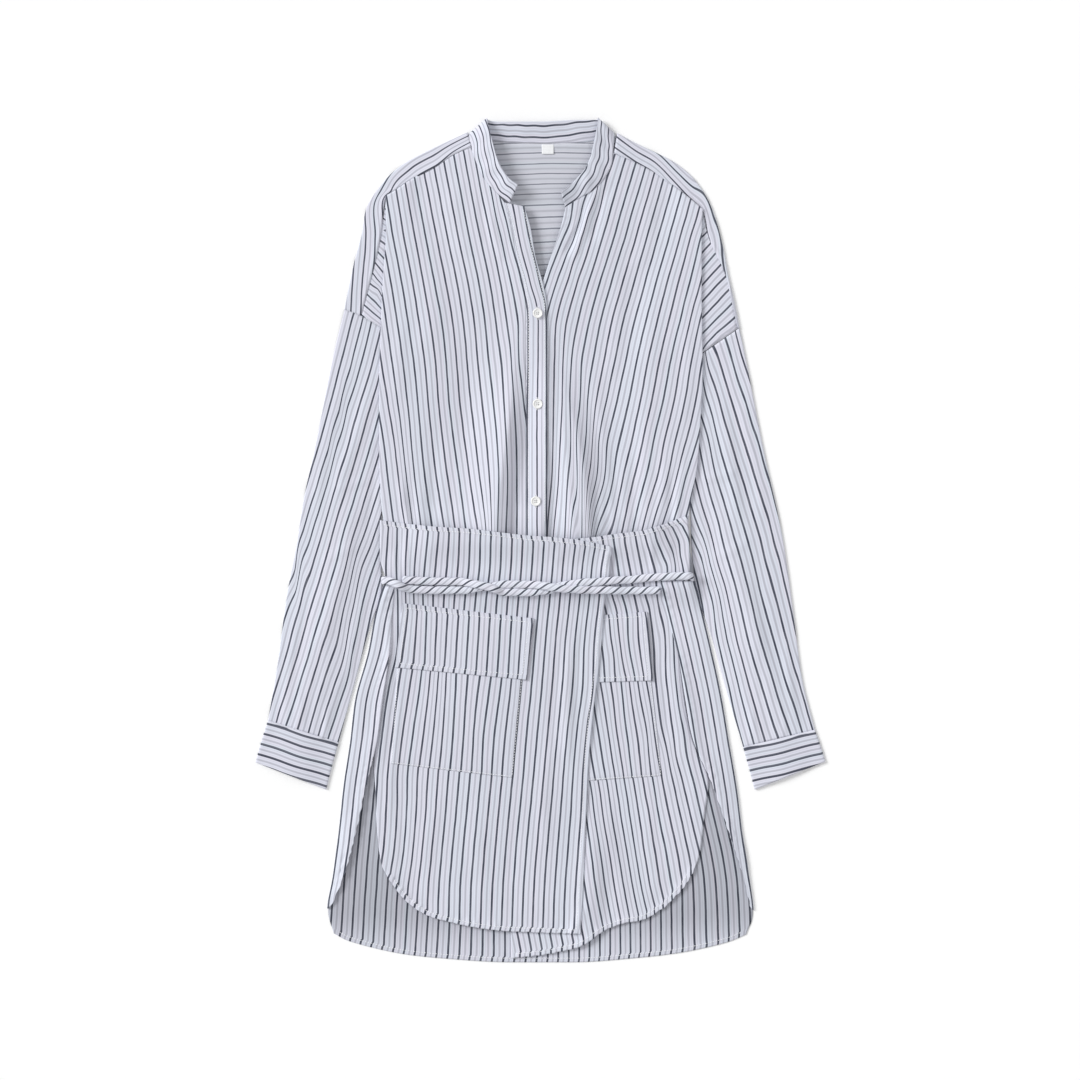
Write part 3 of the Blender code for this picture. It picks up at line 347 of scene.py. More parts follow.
# Dark stripes: their numbers, then y and the x of each. None where one isn't on the piece.
FRONT_RIGHT_STRIPES = (
    (-4, -2, 0, 2, 4, 6, 8, 9, 10),
    (360, None, None, -151, -129, -106, -83, -61, -50.5, -42.5),
    (318, None, None, -144, -121, -98, -75, -52, -41.3, -32),
    (276, None, -159, -136, -113, -89, -66, -43, -31.9, -20.7),
    (233, None, -152, -129, -105, -82, -59, -36, -24, None),
    (191, None, -146, -123, -100, -78, -55, -31, -23, None),
    (148, -162, -141, -119, -97, -74, -50, -28, -18, None),
    (106, -155, -137, -115, -92, -69, -46, -26, -13, None),
    (64, -150, -133, -110, -86, -64, -44, -25, -13, None),
    (26, -145, -128, -104, -81, -59, -45, -25, -13, None),
)
FRONT_LEFT_STRIPES = (
    (-11, -10, -9, -8, -7, -6, -5, -3, 0, 2, 4, 6),
    (360, 34.5, 46.5, 57, 65, 77, 89, 101, 124, 159, None, None, None),
    (340, 32, 41.5, 49.5, 59.7, 71.5, 83.2, 95, 118.3, 153.4, None, None, None),
    (318, 23.5, 35, 43, 54, 65, 77, 89, 112, 147, 169, None, None),
    (300, 16.5, 27, 37, 48.4, 59.6, 71.5, 83.2, 106.7, 142.1, 164.8, None, None),
    (276, 7.7, 18, 29.3, 40, 52, 64, 76, 100, 135, 159, None, None),
    (233, None, 6, 17, 28, 40, 52, 64, 88, 124, 148, 169, None),
    (191, None, None, 15, 24, 33, 44, 56, 79, 114, 138, 160, None),
    (148, None, None, 14, 23, 31, 42, 50, 70, 106, 130, 153, None),
    (106, None, None, 13.5, 21, 32, 38, 48, 62, 97, 120, 143, None),
    (64, None, None, 12, 19, 29, 39, 44, 59, 87, 111, 134, 153),
    (30, None, None, 9, 16, 27, 34, 44, 52, 80, 102, 123, 144),
)
PLACKET_STRIPES = (
    (0, 1, 2),
    (350, -40, -28.5, -17.5),
    (330, -34.4, -24.9, -14.2),
    (310, -30.1, -20.9, -9.8),
    (290, -25.1, -15.5, -4.8),
    (270, -18.9, -10.2, -0.1),
    (250, -14.6, -4.4, 4.6),
    (230, -12.9, -2.2, 6),
    (180, -13.2, -2.7, 6.3),
    (120, -14.1, -3.6, 6.3),
    (40, -14.1, -3.5, 6.3),
)
SLEEVE_RIGHT_STRIPES = (
    (-2, -1, 0, 1, 3, 5, 6),
    (223, -191, -181, -169, None, None, None, None),
    (180, -202, -192, -180, -169, None, None, None),
    (138, -213, -205, -193, -181, None, None, None),
    (95, -225, -217, -205, -193, None, None, None),
    (53, -238, -228, -218, -206, -183, None, None),
    (11, -251, -241, -230, -219, -196, -174, None),
    (-32, -260, -255, -243, -231, -207, -190, -178),
    (-74, None, -268, -256, -244, -219, -199, -190),
    (-117, None, None, -268, -256, -232, -207, -199),
    (-159, None, None, -281, -269, -245, -220, -208),
    (-180, None, None, -287, -276, -251, -227, -215),
)
SLEEVE_LEFT_STRIPES = (
    (-6, -4, -2, -1, 0, 1, 2),
    (191, None, None, None, 170, 176, 189, 203),
    (148, None, None, None, 177, 189, 202, 217),
    (106, None, None, 178, 188, 201, 215, 230),
    (64, None, None, 187, 200, 214, 228, 242),
    (21, None, 176, 200, 213, 227, 242, None),
    (-21, 171, 187, 212, 225, 238, 253, None),
    (-64, 182, 199, 223, 235, 250, 263, None),
    (-106, 188, 208, 233, 247, 261, None, None),
    (-148, 198, 219, 246, 259, 273, None, None),
    (-186, 206, 230, 258, 272, 284, None, None),
)
OVER_STRIPES = (
    (-21, -20, -18, -14, -8, -4, 0),
    (-5, -162, -152, -131, -86, -19, 26, 69),
    (-26, -163.5, -152.5, -133, -87, -20, 24, 65),
    (-62, None, -151, -134, -91, -23.3, 20.7, 62),
    (-106, None, -151, -132, -94, -27, 16, 57),
    (-159, None, -161, -139, -100, -32, 12, 55),
    (-201, None, -167, -146, -103, -37, 8, 49),
    (-244, None, -172, -151, -108, -40, 4, 45),
    (-286, None, None, -152, -111, -44, 0, 43),
    (-329, None, None, -155, -115, -48, -4, 40),
    (-371, None, None, -162, -119, -51, -7, 37),
    (-398, None, None, None, -120, -52, -8, 36),
)
OVER_FLAP_STRIPES = (
    (0, 2, 4, 6, 8, 10, 12),
    (-90, -142, -121, -99, -76, -54, -31, -9),
    (-138, -149, -123, -102, -79, -57, -34, -13),
)
OVER_POUCH_STRIPES = (
    (0, 1, 2, 3, 4, 5, 7, 9, 10, 12),
    (-170, -152.4, -140.8, -129.8, -119.6, -110.2, -101.2, -78.9, -55.7, -44.1, -22.3),
    (-200, -156.2, -145.2, -134.4, -123.2, -113, -103.2, -80.9, -59.7, -48.2, -25.1),
    (-245, -161.5, -150.9, -140.5, -129.2, -118.3, -107.4, -84.2, -62.3, -51.6, -29.1),
)
UNDER_STRIPES = (
    (-6, -4, -2, 0, 1, 2, 3, 4, 5, 6, 7, 8),
    (14, None, None, None, None, None, 75.9, 87.8, 99.7, 108.6, 120, 128.8, 139.2),
    (0, None, None, None, None, None, 77.4, 88.9, 101, 111.6, 122.7, 134.4, 145.7),
    (-16, None, None, None, None, None, 79.9, 91.8, 104.2, 116.5, 129.2, 140.8, 147.8),
    (-32, None, None, None, None, None, 82.3, 94.9, 107.3, 120.9, 134.3, 142.9, 151),
    (-58, None, None, None, None, 75.8, 86.2, 99, 111.1, 123.4, 131.8, 142.3, 154.4),
    (-72, None, None, None, None, 80.1, 90.4, 102.2, 115.1, 125.7, 137.1, 149.3, None),
    (-110, None, None, None, None, None, None, None, 120, 132.4, 140.8, 151.2, 162.6),
    (-140, None, None, None, None, None, None, None, 121.3, 132.8, 142.6, 151.4, 163),
    (-170, None, None, None, None, None, None, None, 124.4, 136, 145.6, 154.2, None),
    (-200, None, None, None, None, None, None, None, 128.8, 139.8, 151.1, 161.7, None),
    (-230, 36, 55, 74.5, 93.7, 104.6, 115.2, 125.6, 135.3, 143.8, 155.5, None, None),
    (-255, 43, 61, 79.5, 98.5, 108.6, 119.2, 129.2, 140.4, 150.3, 161.9, None, None),
    (-300, 49.5, 67.4, 86.4, 105.7, 116.7, 126.7, 138.3, 150.1, 160.7, None, None, None),
    (-330, 53.7, 72.7, 91.5, 109.9, 121.4, 132.9, 144.8, 156.6, None, None, None, None),
    (-371, 59, 79, 98.5, 117, None, 140, None, 164, None, None, None, None),
    (-403, 65, 85, 105, 125, None, None, None, None, None, None, None, None),
)
UNDER_FLAP_STRIPES = (
    (-1, 0, 1, 2, 3, 4),
    (-82, 61.5, 72.7, 81.5, 92.2, 103, 112),
    (-100, 63.5, 74.1, 83, 92.6, 103.5, 114.1),
    (-125, 66.5, 77.9, 86.4, 95.8, 106.4, 116.2),
    (-142, 68, 78.9, 89.6, 99.2, 109, 117.8),
)
UNDER_POUCH_STRIPES = (
    (-1, 0, 1, 2, 3, 4, 5, 6),
    (-170, 56, 66.5, 77, 87.4, 96.5, 106.3, 115.8, 124.4),
    (-200, 60.7, 71.2, 80.4, 90.7, 101.3, 112.1, 120, 128.8),
    (-245, 68, 78, 87.4, 96.4, 106.7, 116.7, 127.3, 138.2),
)
SKIRT_BACK_STRIPES = (
    (0, 4, 12, 20, 28, 31),
    (-430, -166, -121, -26, 63, 151, 189),
    (-350, -161, -116, -26, 63, 149, 184),
    (-275, -154, -110, -25, 61, 133, 168),
)
# Front strips of the yoke, one pair for each section. Right: distance of a dark stripe from the fold and
# distance to the next one. Left: stripe number on the seam and distance between stripes.
YOKE_RIGHT_STRIPES = (
    (6.5, 11), (0, 11.3), (-6, 10), (-13.5, 9.5), (-20, 10), (-25.5, 11), (-27, 11), (-21, 8), (-19, 7),
)
YOKE_LEFT_STRIPES = (
    (-0.57, 11.5), (-0.09, 11.5), (0.07, 11.5), (0.52, 11.5), (0.91, 12.5), (1.08, 18), (1.02, 19),
    (1.57, 17), (2.0, 11), (2.4, 11), (2.4, 11),
)
# Collar band, one pair for each section: distance of a dark stripe from the free edge, and to the next one
COLLAR_STRIPES = (
    (8, 9.3), (6.3, 9.3), (4, 9.3), (1.6, 9.5), (1.2, 8.5), (2.5, 9.5), (4.6, 11.5), (3.4, 12), (4.6, 12),
    (2.6, 12), (1.6, 11.5), (4.2, 10), (6.3, 10), (9, 10), (11.5, 9.8), (14, 9.8), (15.5, 9.8),
)
# Drops of the shoulders, whose stripes run across: stripe numbers, then x and the y of each
DROP_RIGHT_STRIPES = (
    (8, 7, 6, 5, 4, 3, 2, 1, 0),
    (-184.5, 234, 247, 261.1, 274, 288.5, 303, 318, None, None),
    (-178.6, 228.5, 241.9, 255.3, 270.2, 283.4, 297.9, 312, 327, None),
    (-171.8, 224, 236.3, 248.5, 265.3, 274.8, 289.7, 304.6, 318.7, 333),
    (-165, 218, 230.5, 241, 253.8, 264.4, 281.4, 297.4, 313.6, 328),
)
DROP_LEFT_STRIPES = (
    (8, 7, 6, 5, 4, 3, 2, 1, 0, -1),
    (169.8, 181, 198.9, 216.9, 233.7, 251.1, 268.3, 285.6, 302.5, 320.3, 333),
    (177.4, 192, 209.6, 224.5, 241.3, 259.4, 276.6, 294.4, 311.3, 327.6, 343),
    (185, 200.5, 217.7, 232.7, 249.4, 267.9, 285.1, 303.2, 320, 336, None),
    (200, 213.5, 230.8, 247.6, 265.4, 283, 300, 317, None, None, None),
    (210, 222, 239.5, 257.6, 275, 292, 309, None, None, None, None),
)
# y of the stripes across the inside of the yoke, at its middle
INSIDE_STRIPES_Y = (420, 409, 397.5, 387, 376, 366, 354, 341, 329, 315, 303, 291.5, 280, 268, 256, 244)


# ---------------------------------------------------------------- measures


def ramp(value, start, end):
    """0 at start, 1 at end, eased at both."""
    t = np.clip((value - start) / (end - start), 0.0, 1.0)
    return t * t * (3 - 2 * t)


def mix(a, b, share):
    return a + (b - a) * share


def xy(plan):
    return plan[..., 0], plan[..., 1]


def raised(plan, z):
    """The places of a plan, at height z."""
    return np.stack([*xy(plan), z], axis=-1)


def unit(vectors):
    return vectors / np.linalg.norm(vectors, axis=-1, keepdims=True)


def spread(start, end, count):
    return np.linspace(np.asarray(start, float), np.asarray(end, float), count)


def running(points, axis=0):
    """Distance run from the first place, along a line or one axis of a grid."""
    steps = np.linalg.norm(np.diff(points, axis=axis), axis=-1)
    return np.insert(np.cumsum(steps, axis=axis), 0, 0.0, axis=axis)


def gaps(points, axis):
    """The same, on average over the other axis of a grid."""
    return running(points, axis).mean(axis=1 - axis)


def back_from(points):
    """Distance from the last column of each row, going back along the row."""
    return running(points[:, ::-1], 1)[:, ::-1]


def slopes(keys, values):
    """Slopes of a smooth line through values at keys, which never swings past them."""
    step = np.diff(keys).reshape((-1,) + (1,) * (values.ndim - 1))
    run = np.diff(values, axis=0) / step
    before, after = run[:-1], run[1:]
    middle = (before * step[1:] + after * step[:-1]) / (step[1:] + step[:-1])
    most = 3 * np.minimum(np.abs(before), np.abs(after))
    inner = np.where(before * after > 0, np.clip(middle, -most, most), 0.0)
    return np.concatenate([run[:1], inner, run[-1:]])


def smooth(at, keys, values, own=False):
    """values, one row for each key, read at other keys. With own, each column is read at its own key."""
    keys, values = np.asarray(keys, float), np.asarray(values, float)
    slope = slopes(keys, values)
    i = np.clip(np.searchsorted(keys, at, "right") - 1, 0, len(keys) - 2)
    low, high = i, i + 1
    shape = np.shape(at) + (1,) * (values.ndim - 1)
    if own:
        low, high = (low, np.arange(len(at))), (high, np.arange(len(at)))
        shape = np.shape(at)
    step = (keys[i + 1] - keys[i]).reshape(shape)
    t = (np.asarray(at, float) - keys[i]).reshape(shape) / step
    u = np.clip(t, 0.0, 1.0)
    line = values[low] + (values[high] - values[low]) * u * u * (3 - 2 * u)
    line = line + slope[low] * step * u * (1 - u) ** 2 + slope[high] * step * u * u * (u - 1)
    return line + (t - u) * step * np.where(t > 1, slope[high], slope[low])


def smooth_across(at, keys, grid):
    """The same for the columns of a grid."""
    return smooth(at, keys, grid.swapaxes(0, 1)).swapaxes(0, 1)


EDGE_STOPS = (0.0, 1.1, 2.4, 3.8, 5.2, 6.6, 8.6)


def stops(length, step, fine_start=False, fine_end=False):
    """Places from 0 to length, a step apart, and closer beside a hem."""
    low = list(EDGE_STOPS) if fine_start else [0.0]
    high = [length - d for d in reversed(EDGE_STOPS)] if fine_end else [length]
    count = max(1, round((high[0] - low[-1]) / step))
    return np.concatenate([low, np.linspace(low[-1], high[0], count + 1)[1:-1], high])


def sections(first, rows, last=()):
    """A coarse grid: a line of points, as many between the two ends of each row, maybe a last line."""
    between = [spread(row[:2], row[2:4], len(first)) for row in rows]
    return np.array([first, *between, *last], float)


def refine(control, row_step, column_step, fine=(False, False, False, False)):
    """A fine grid through a coarse one. fine says which edges are hems: first and last row, first and
    last column."""
    down, across = gaps(control, 0), gaps(control, 1)
    rows = smooth(stops(down[-1], row_step, *fine[:2]), down, control)
    return smooth_across(stops(across[-1], column_step, *fine[2:]), across, rows)


def along(table, count):
    """count points at even distances along a line of points."""
    line = np.asarray(table, float)
    lengths = running(line)
    at = np.linspace(0, lengths[-1], count)
    return np.stack([np.interp(at, lengths, side) for side in line.T], axis=1)


def to_line(x, y, line):
    """Distance of each point from a line of points, and how far along it the nearest place is."""
    places = np.stack([np.ravel(x), np.ravel(y)], axis=1)
    best, at, passed = np.full(len(places), np.inf), np.zeros(len(places)), 0.0
    for a, b in zip(line[:-1], line[1:]):
        d = b - a
        length = max(float(np.hypot(*d)), 1e-9)
        t = np.clip((places - a) @ d / length**2, 0, 1)
        off = np.hypot(*(places - a - t[:, None] * d).T)
        nearer = off < best
        best[nearer], at[nearer] = off[nearer], passed + t[nearer] * length
        passed += length
    return best.reshape(np.shape(x)), at.reshape(np.shape(x))


def bend(start, end, outward):
    """The half circle that joins two layers at a fold, with both its ends, for many rows at once."""
    radius = np.abs(end[:, 2] - start[:, 2])[:, None] / 2
    angle = math.pi * np.arange(1, TURN_POINTS + 1) / (TURN_POINTS + 1)
    points = mix(start[:, None], end[:, None], ((1 - np.cos(angle)) / 2)[None, :, None])
    for k in (0, 1):
        points[..., k] += radius * np.sin(angle) * outward[k]
    return np.concatenate([start[:, None], points, end[:, None]], axis=1)


def reach_over(plan, at=0, axis=0, by=SEAM_OVERLAP):
    """Moves the first or last row or column outwards, over the neighbouring piece of a seam."""
    plan = plan.copy()
    lines = plan.swapaxes(0, axis)
    lines[at] += unit(lines[at] - lines[1 if at == 0 else -2]) * by
    return plan


# ---------------------------------------------------------------- heights of the layers


def belt_ridge(y):
    off = np.minimum(np.abs(y - BELT_BACK_Y), RIDGE_HALF_WIDTH)
    return RIDGE_HEIGHT * (1 + np.cos(math.pi * off / RIDGE_HALF_WIDTH)) / 2


def layer(level, y):
    """Middle surface of a layer of the shirt: level 0 is its back."""
    return CLOTH / 2 + belt_ridge(y) + PITCH * (1 - ramp(y, *SHIRT_OFF_HEADER)) + PITCH * level


def neck_rise(x, y):
    distance = np.hypot(x - NECK_CENTRE[0], y - NECK_CENTRE[1])
    return NECK_RISE * ramp(1 - distance / NECK_REACH, 0, 1)


def turn_x(rows, y):
    table = np.array(sorted((row[1], abs(row[4])) for row in rows), float)
    return np.interp(y, table[:, 0], table[:, 1])


def side_share(x, y):
    """1 where the front lies on the side's layers, 0 in the middle."""
    turn = np.where(x < 0, turn_x(FRONT_RIGHT_ROWS, y), turn_x(FRONT_LEFT_ROWS, y))
    reach = mix(*SIDE_SLOPE, ramp(y, *SIDE_SLOPE_Y))
    return 1 - ramp((turn - TURN_UNDER - np.abs(x)) / reach, 0, 1)


def folds(x, y, table, lean=1.0):
    """Soft ridges and troughs, strongest in the middle of their length and eased at both ends. Those that
    lean rise slowly from the right side and fall steeply from their crest."""
    total = np.zeros(np.shape(x))
    for x0, y0, x1, y1, height, half_width in table:
        length = math.hypot(x1 - x0, y1 - y0)
        run = ((x1 - x0) / length, (y1 - y0) / length)
        t = ((x - x0) * run[0] + (y - y0) * run[1]) / length
        off = ((x - x0) * run[1] - (y - y0) * run[0]) / half_width
        off = off + FOLD_SWAY * np.sin(t * 5.1 + x0)
        rising = off * -run[1] > 0
        off = np.minimum(np.abs(np.where(rising, off / lean, off)), 1)
        profile = np.cos(off * math.pi / 2) ** 2
        if lean > 1:
            profile = np.where(rising, profile, (1 - off) ** GATHER_FALL)
        ends = ramp(t, 0.0, 0.45) * (1 - ramp(t, 0.86, 1.06))
        total += height * ends * profile
    return total


def unevenness(x, y):
    """Slight waves of pressed cloth that has been laid down."""
    wide = np.sin(x / 19 + 1.3 * np.sin(y / 37)) * np.sin(y / 31 + 1.1 * np.sin(x / 27) + 0.7)
    narrow = np.sin(x / 7.3 + 1.7 * np.sin(y / 22 + 1)) * np.sin(y / 17 + 1.4 * np.sin(x / 13))
    return 0.22 * wide + 0.1 * narrow


def skirt_relief(x, y):
    """What every layer of the skirt front shares, and the shirt front above it."""
    free = 1 - np.exp(-(((y - BELT_PRESS[0]) / BELT_PRESS[1]) ** 2))
    return (folds(x, y, SKIRT_FOLDS) + unevenness(x, y)) * free


def front_base(x, y):
    side_layers = (1 + ramp(y, *SLEEVE_UNDER_FRONT)) * side_share(x, y)
    return layer(1 + side_layers, y) + neck_rise(x, y) + skirt_relief(x, y)


def front_height(x, y):
    creases = folds(x, y, SHIRT_FOLDS) + folds(x, y, GATHERS, GATHER_LEAN)
    made = front_base(x, y) + creases * ramp(y, *FOLDS_PRESSED)
    return np.maximum(made, layer(0, y) + LEAST_GAP)


def placket_lift(y):
    return PITCH * ramp(-y, -PLACKET_LAPS[0], -PLACKET_LAPS[1])


def right_front_height(x, y):
    return front_height(x, y) + placket_lift(y) * ramp(x, *PLACKET_SLOPE)


def placket_height(x, y):
    return front_height(x, y) + placket_lift(y)


def skirt_back_height(y):
    return CLOTH / 2 + belt_ridge(y)


def under_height(x, y):
    bump = ramp(x, *PLACKET_UNDER_HEADER) * (1 - ramp(x, *HEADER_OFF_PLACKET))
    lift = HEADER_LIFT * ramp(y, *HEADER_LIFT_Y) * (1 - ramp(np.abs(x), *HEADER_LIFT_X))
    on_shirt = front_base(x, y) + PITCH * (1 + bump) + lift
    on_back = skirt_back_height(y) + PITCH + skirt_relief(x, y)
    return mix(on_back, on_shirt, ramp(y, *HEADER_ON_SHIRT))


def hidden_pocket(y):
    top = 1 - ramp(y, POCKET_HIDDEN_TOP[1], POCKET_HIDDEN_TOP[0])
    return top * (ramp(y, *POUCH_HIDDEN_END) + ramp(y, *FLAP_HIDDEN_END))


def over_lift(x, y, pocket_pitch):
    """From the under panel to the over panel, which also lies on the hidden half of a pocket."""
    return ramp(x, *OVER_ON_UNDER) * (PITCH + pocket_pitch * hidden_pocket(y))


def over_height(x, y):
    return under_height(x, y) + over_lift(x, y, POCKET_LAYER) + folds(x, y, OVER_FOLDS)


# ---------------------------------------------------------------- stripes


def stripes_from(table):
    """Stripe number at any place, from the x of some dark stripes on some rows."""
    numbers, rows = table[0], sorted(table[1:])
    keys = np.array([row[0] for row in rows], float)

    def number(x, y):
        across = []
        for row in rows:
            at, n = np.array([(at, n) for at, n in zip(row[1:], numbers) if at is not None], float).T
            inside = np.clip(x, at[0], at[-1])
            across.append(smooth(inside, at, n) + (x - inside) / STRIPE_PITCH)
        reach = np.clip(np.ravel(y), keys[0] - STRIPE_REACH, keys[-1] + STRIPE_REACH)
        return smooth(reach, keys, np.reshape(across, (len(rows), -1)), own=True).reshape(np.shape(x))

    return number


def stripes_across(table):
    """The same for stripes that run across: each row of the table holds x, then the y of the stripes."""
    number = stripes_from(table)
    return lambda x, y: number(y, x)


def inside_stripes(x, y):
    lines = sorted((at, n) for n, at in enumerate(INSIDE_STRIPES_Y))
    level = y + 1.3 * np.sin(x / 31 + y / 90) - 0.012 * x
    return smooth(level, *zip(*lines))


# ---------------------------------------------------------------- edges

SEAM = {"band": SEAM_BAND, "wall": 0.35, "drop": 0.0, "jog": 0.0, "pucker": 0.1, "rise": 0.3}


def edge_at(x, y, line, band=HEM_BAND, wall=1.0, drop=0.45, jog=0.14, pucker=0.34, rise=0.0):
    """A hem, or a seam allowance pressed to this side: what it adds to the height, its share of the hem's
    wall, and its shift of the stripes."""
    off, run = to_line(x, y, np.asarray(line, float))
    inside = 1 - ramp(off, band - 0.5, band + 0.6)
    waves = np.sin(run / 1.35 + 1.6 * np.sin(run / 9.7)) * np.sin(run / 31 + 1)
    near = np.exp(-(((off - band) / 3.2) ** 2))
    height = rise * inside - drop * (1 - ramp(off, 0, 2.2 * band)) + pucker * waves * near
    slant = 0.8 + 0.5 * np.sin(run / 23) - 0.5 * off / band
    return height, wall * inside, jog * inside * slant


def on_edges(x, y, *edges):
    """The same for all edges of a piece."""
    height, wall, shift = np.zeros((3, *np.shape(x)))
    for edge in edges:
        dz, share, jog = edge_at(x, y, **edge)
        height += dz
        shift += jog
        wall = np.maximum(wall, share)
    return height, wall, shift


# ---------------------------------------------------------------- meshes

MADE = {}  # finished pieces by their node's name
PLANS = {}  # and the plans of those that have rows of stitches


def linked(name, data):
    made = bpy.data.objects.new(name, data)
    bpy.context.scene.collection.objects.link(made)
    return made


def grid(points, stripe, wall=0.0, side=0):
    """points: rows, columns, xyz in mm; stripe: number at each; wall: share of a hem's; side: material."""
    return np.asarray(points, float), stripe, wall, side


def make(node, grids, cloths, name=None, wall=THIN):
    """One piece of grids of points, welded where they share points, in place of a node of the solids."""
    name = name or f"{node}_cloth"
    points, cloth, walls, faces, sides = [], [], [], [], []
    count = 0
    for places, stripe, share, side in grids:
        shape = places.shape[:2]
        index = count + np.arange(shape[0] * shape[1]).reshape(shape)
        quads = np.stack([index[:-1, :-1], index[:-1, 1:], index[1:, 1:], index[1:, :-1]], axis=-1)
        points.append(places.reshape(-1, 3))
        cloth.append(np.dstack([np.broadcast_to(stripe, shape), running(places)]).reshape(-1, 2))
        walls.append(np.broadcast_to(share, shape).ravel())
        faces.append(quads.reshape(-1, 4))
        sides.append(np.full(len(faces[-1]), side))
        count += index.size
    points, cloth, walls, faces, sides = map(np.concatenate, (points, cloth, walls, faces, sides))
    _, first, welded = np.unique(
        np.round(points / WELD).astype(int), axis=0, return_index=True, return_inverse=True
    )
    quads = welded.ravel()[faces]
    real = np.array([len(set(quad)) > 2 for quad in quads.tolist()])
    corners, loops = [], []
    for raw, quad in zip(faces[real].tolist(), quads[real].tolist()):
        kept = [k for k in range(4) if quad[k] != quad[k - 1]]
        corners.append([quad[k] for k in kept])
        loops += [raw[k] for k in kept]
    mesh = bpy.data.meshes.new(name)
    mesh.from_pydata((points[first] * MM).tolist(), [], corners)
    mesh.uv_layers.new(name="Cloth").data.foreach_set("uv", cloth[loops].astype(np.float32).ravel())
    mesh.polygons.foreach_set("material_index", sides[real].astype(np.int32))
    mesh.shade_smooth()
    for material in cloths:
        mesh.materials.append(material)
    made = linked(name, mesh)
    if wall:
        share = np.round(walls[first], 2)
        group = made.vertex_groups.new(name="hem")
        for weight in np.unique(share):
            group.add(np.flatnonzero(share == weight).tolist(), float(weight), "REPLACE")
        solid = made.modifiers.new("wall", "SOLIDIFY")
        solid.thickness, solid.offset, solid.use_rim = HEM_WALL * MM, 0.0, True
        solid.vertex_group, solid.thickness_vertex_group = "hem", wall / HEM_WALL
    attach(made, "root")
    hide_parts(node)
    MADE[node] = made
    return made


# ---------------------------------------------------------------- materials


def add(tree, kind, inputs, output=0, **settings):
    """Adds a node, sets or links its inputs, and returns one of its outputs."""
    made = tree.nodes.new(kind)
    for key, value in settings.items():
        setattr(made, key, value)
    for key, value in inputs.items():
        if isinstance(value, bpy.types.NodeSocket):
            tree.links.new(value, made.inputs[key])
        else:
            made.inputs[key].default_value = value
    return made.outputs[output]


def maths(tree, operation, *values, clamp=False):
    return add(tree, "ShaderNodeMath", dict(enumerate(values)), operation=operation, use_clamp=clamp)


def noise(tree, where, scale, detail):
    return add(tree, "ShaderNodeTexNoise", {"Vector": where, "Scale": scale, "Detail": detail}, "Fac")


def eased(tree, value, start, end, first, last):
    """first at start, last at end."""
    ends = {"From Min": start, "From Max": end, "To Min": first, "To Max": last}
    settings = {"interpolation_type": "SMOOTHSTEP", "clamp": True}
    return add(tree, "ShaderNodeMapRange", {"Value": value, **ends}, "Result", **settings)


def blend(tree, share, a, b):
    return add(tree, "ShaderNodeMix", {0: share, 6: a, 7: b}, 2, data_type="RGBA")


def tinted(colour, factors):
    return tuple(c * f for c, f in zip(colour[:3], factors)) + (1.0,)


def shade_nodes(name, roughness, sheen=0.0, specular=0.3):
    material = bpy.data.materials.new(name)
    material.use_nodes = True
    shader = material.node_tree.nodes["Principled BSDF"]
    for key, value in (
        ("Roughness", roughness),
        ("Specular IOR Level", specular),
        ("Sheen Weight", sheen),
        ("Sheen Roughness", 0.5),
    ):
        shader.inputs[key].default_value = value
    return material, material.node_tree, shader


def finish_nodes(tree, shader, colour, height, strength, bump_mm):
    bump = {"Height": height, "Strength": strength, "Distance": bump_mm * MM}
    tree.links.new(colour, shader.inputs["Base Color"])
    tree.links.new(add(tree, "ShaderNodeBump", bump), shader.inputs["Normal"])


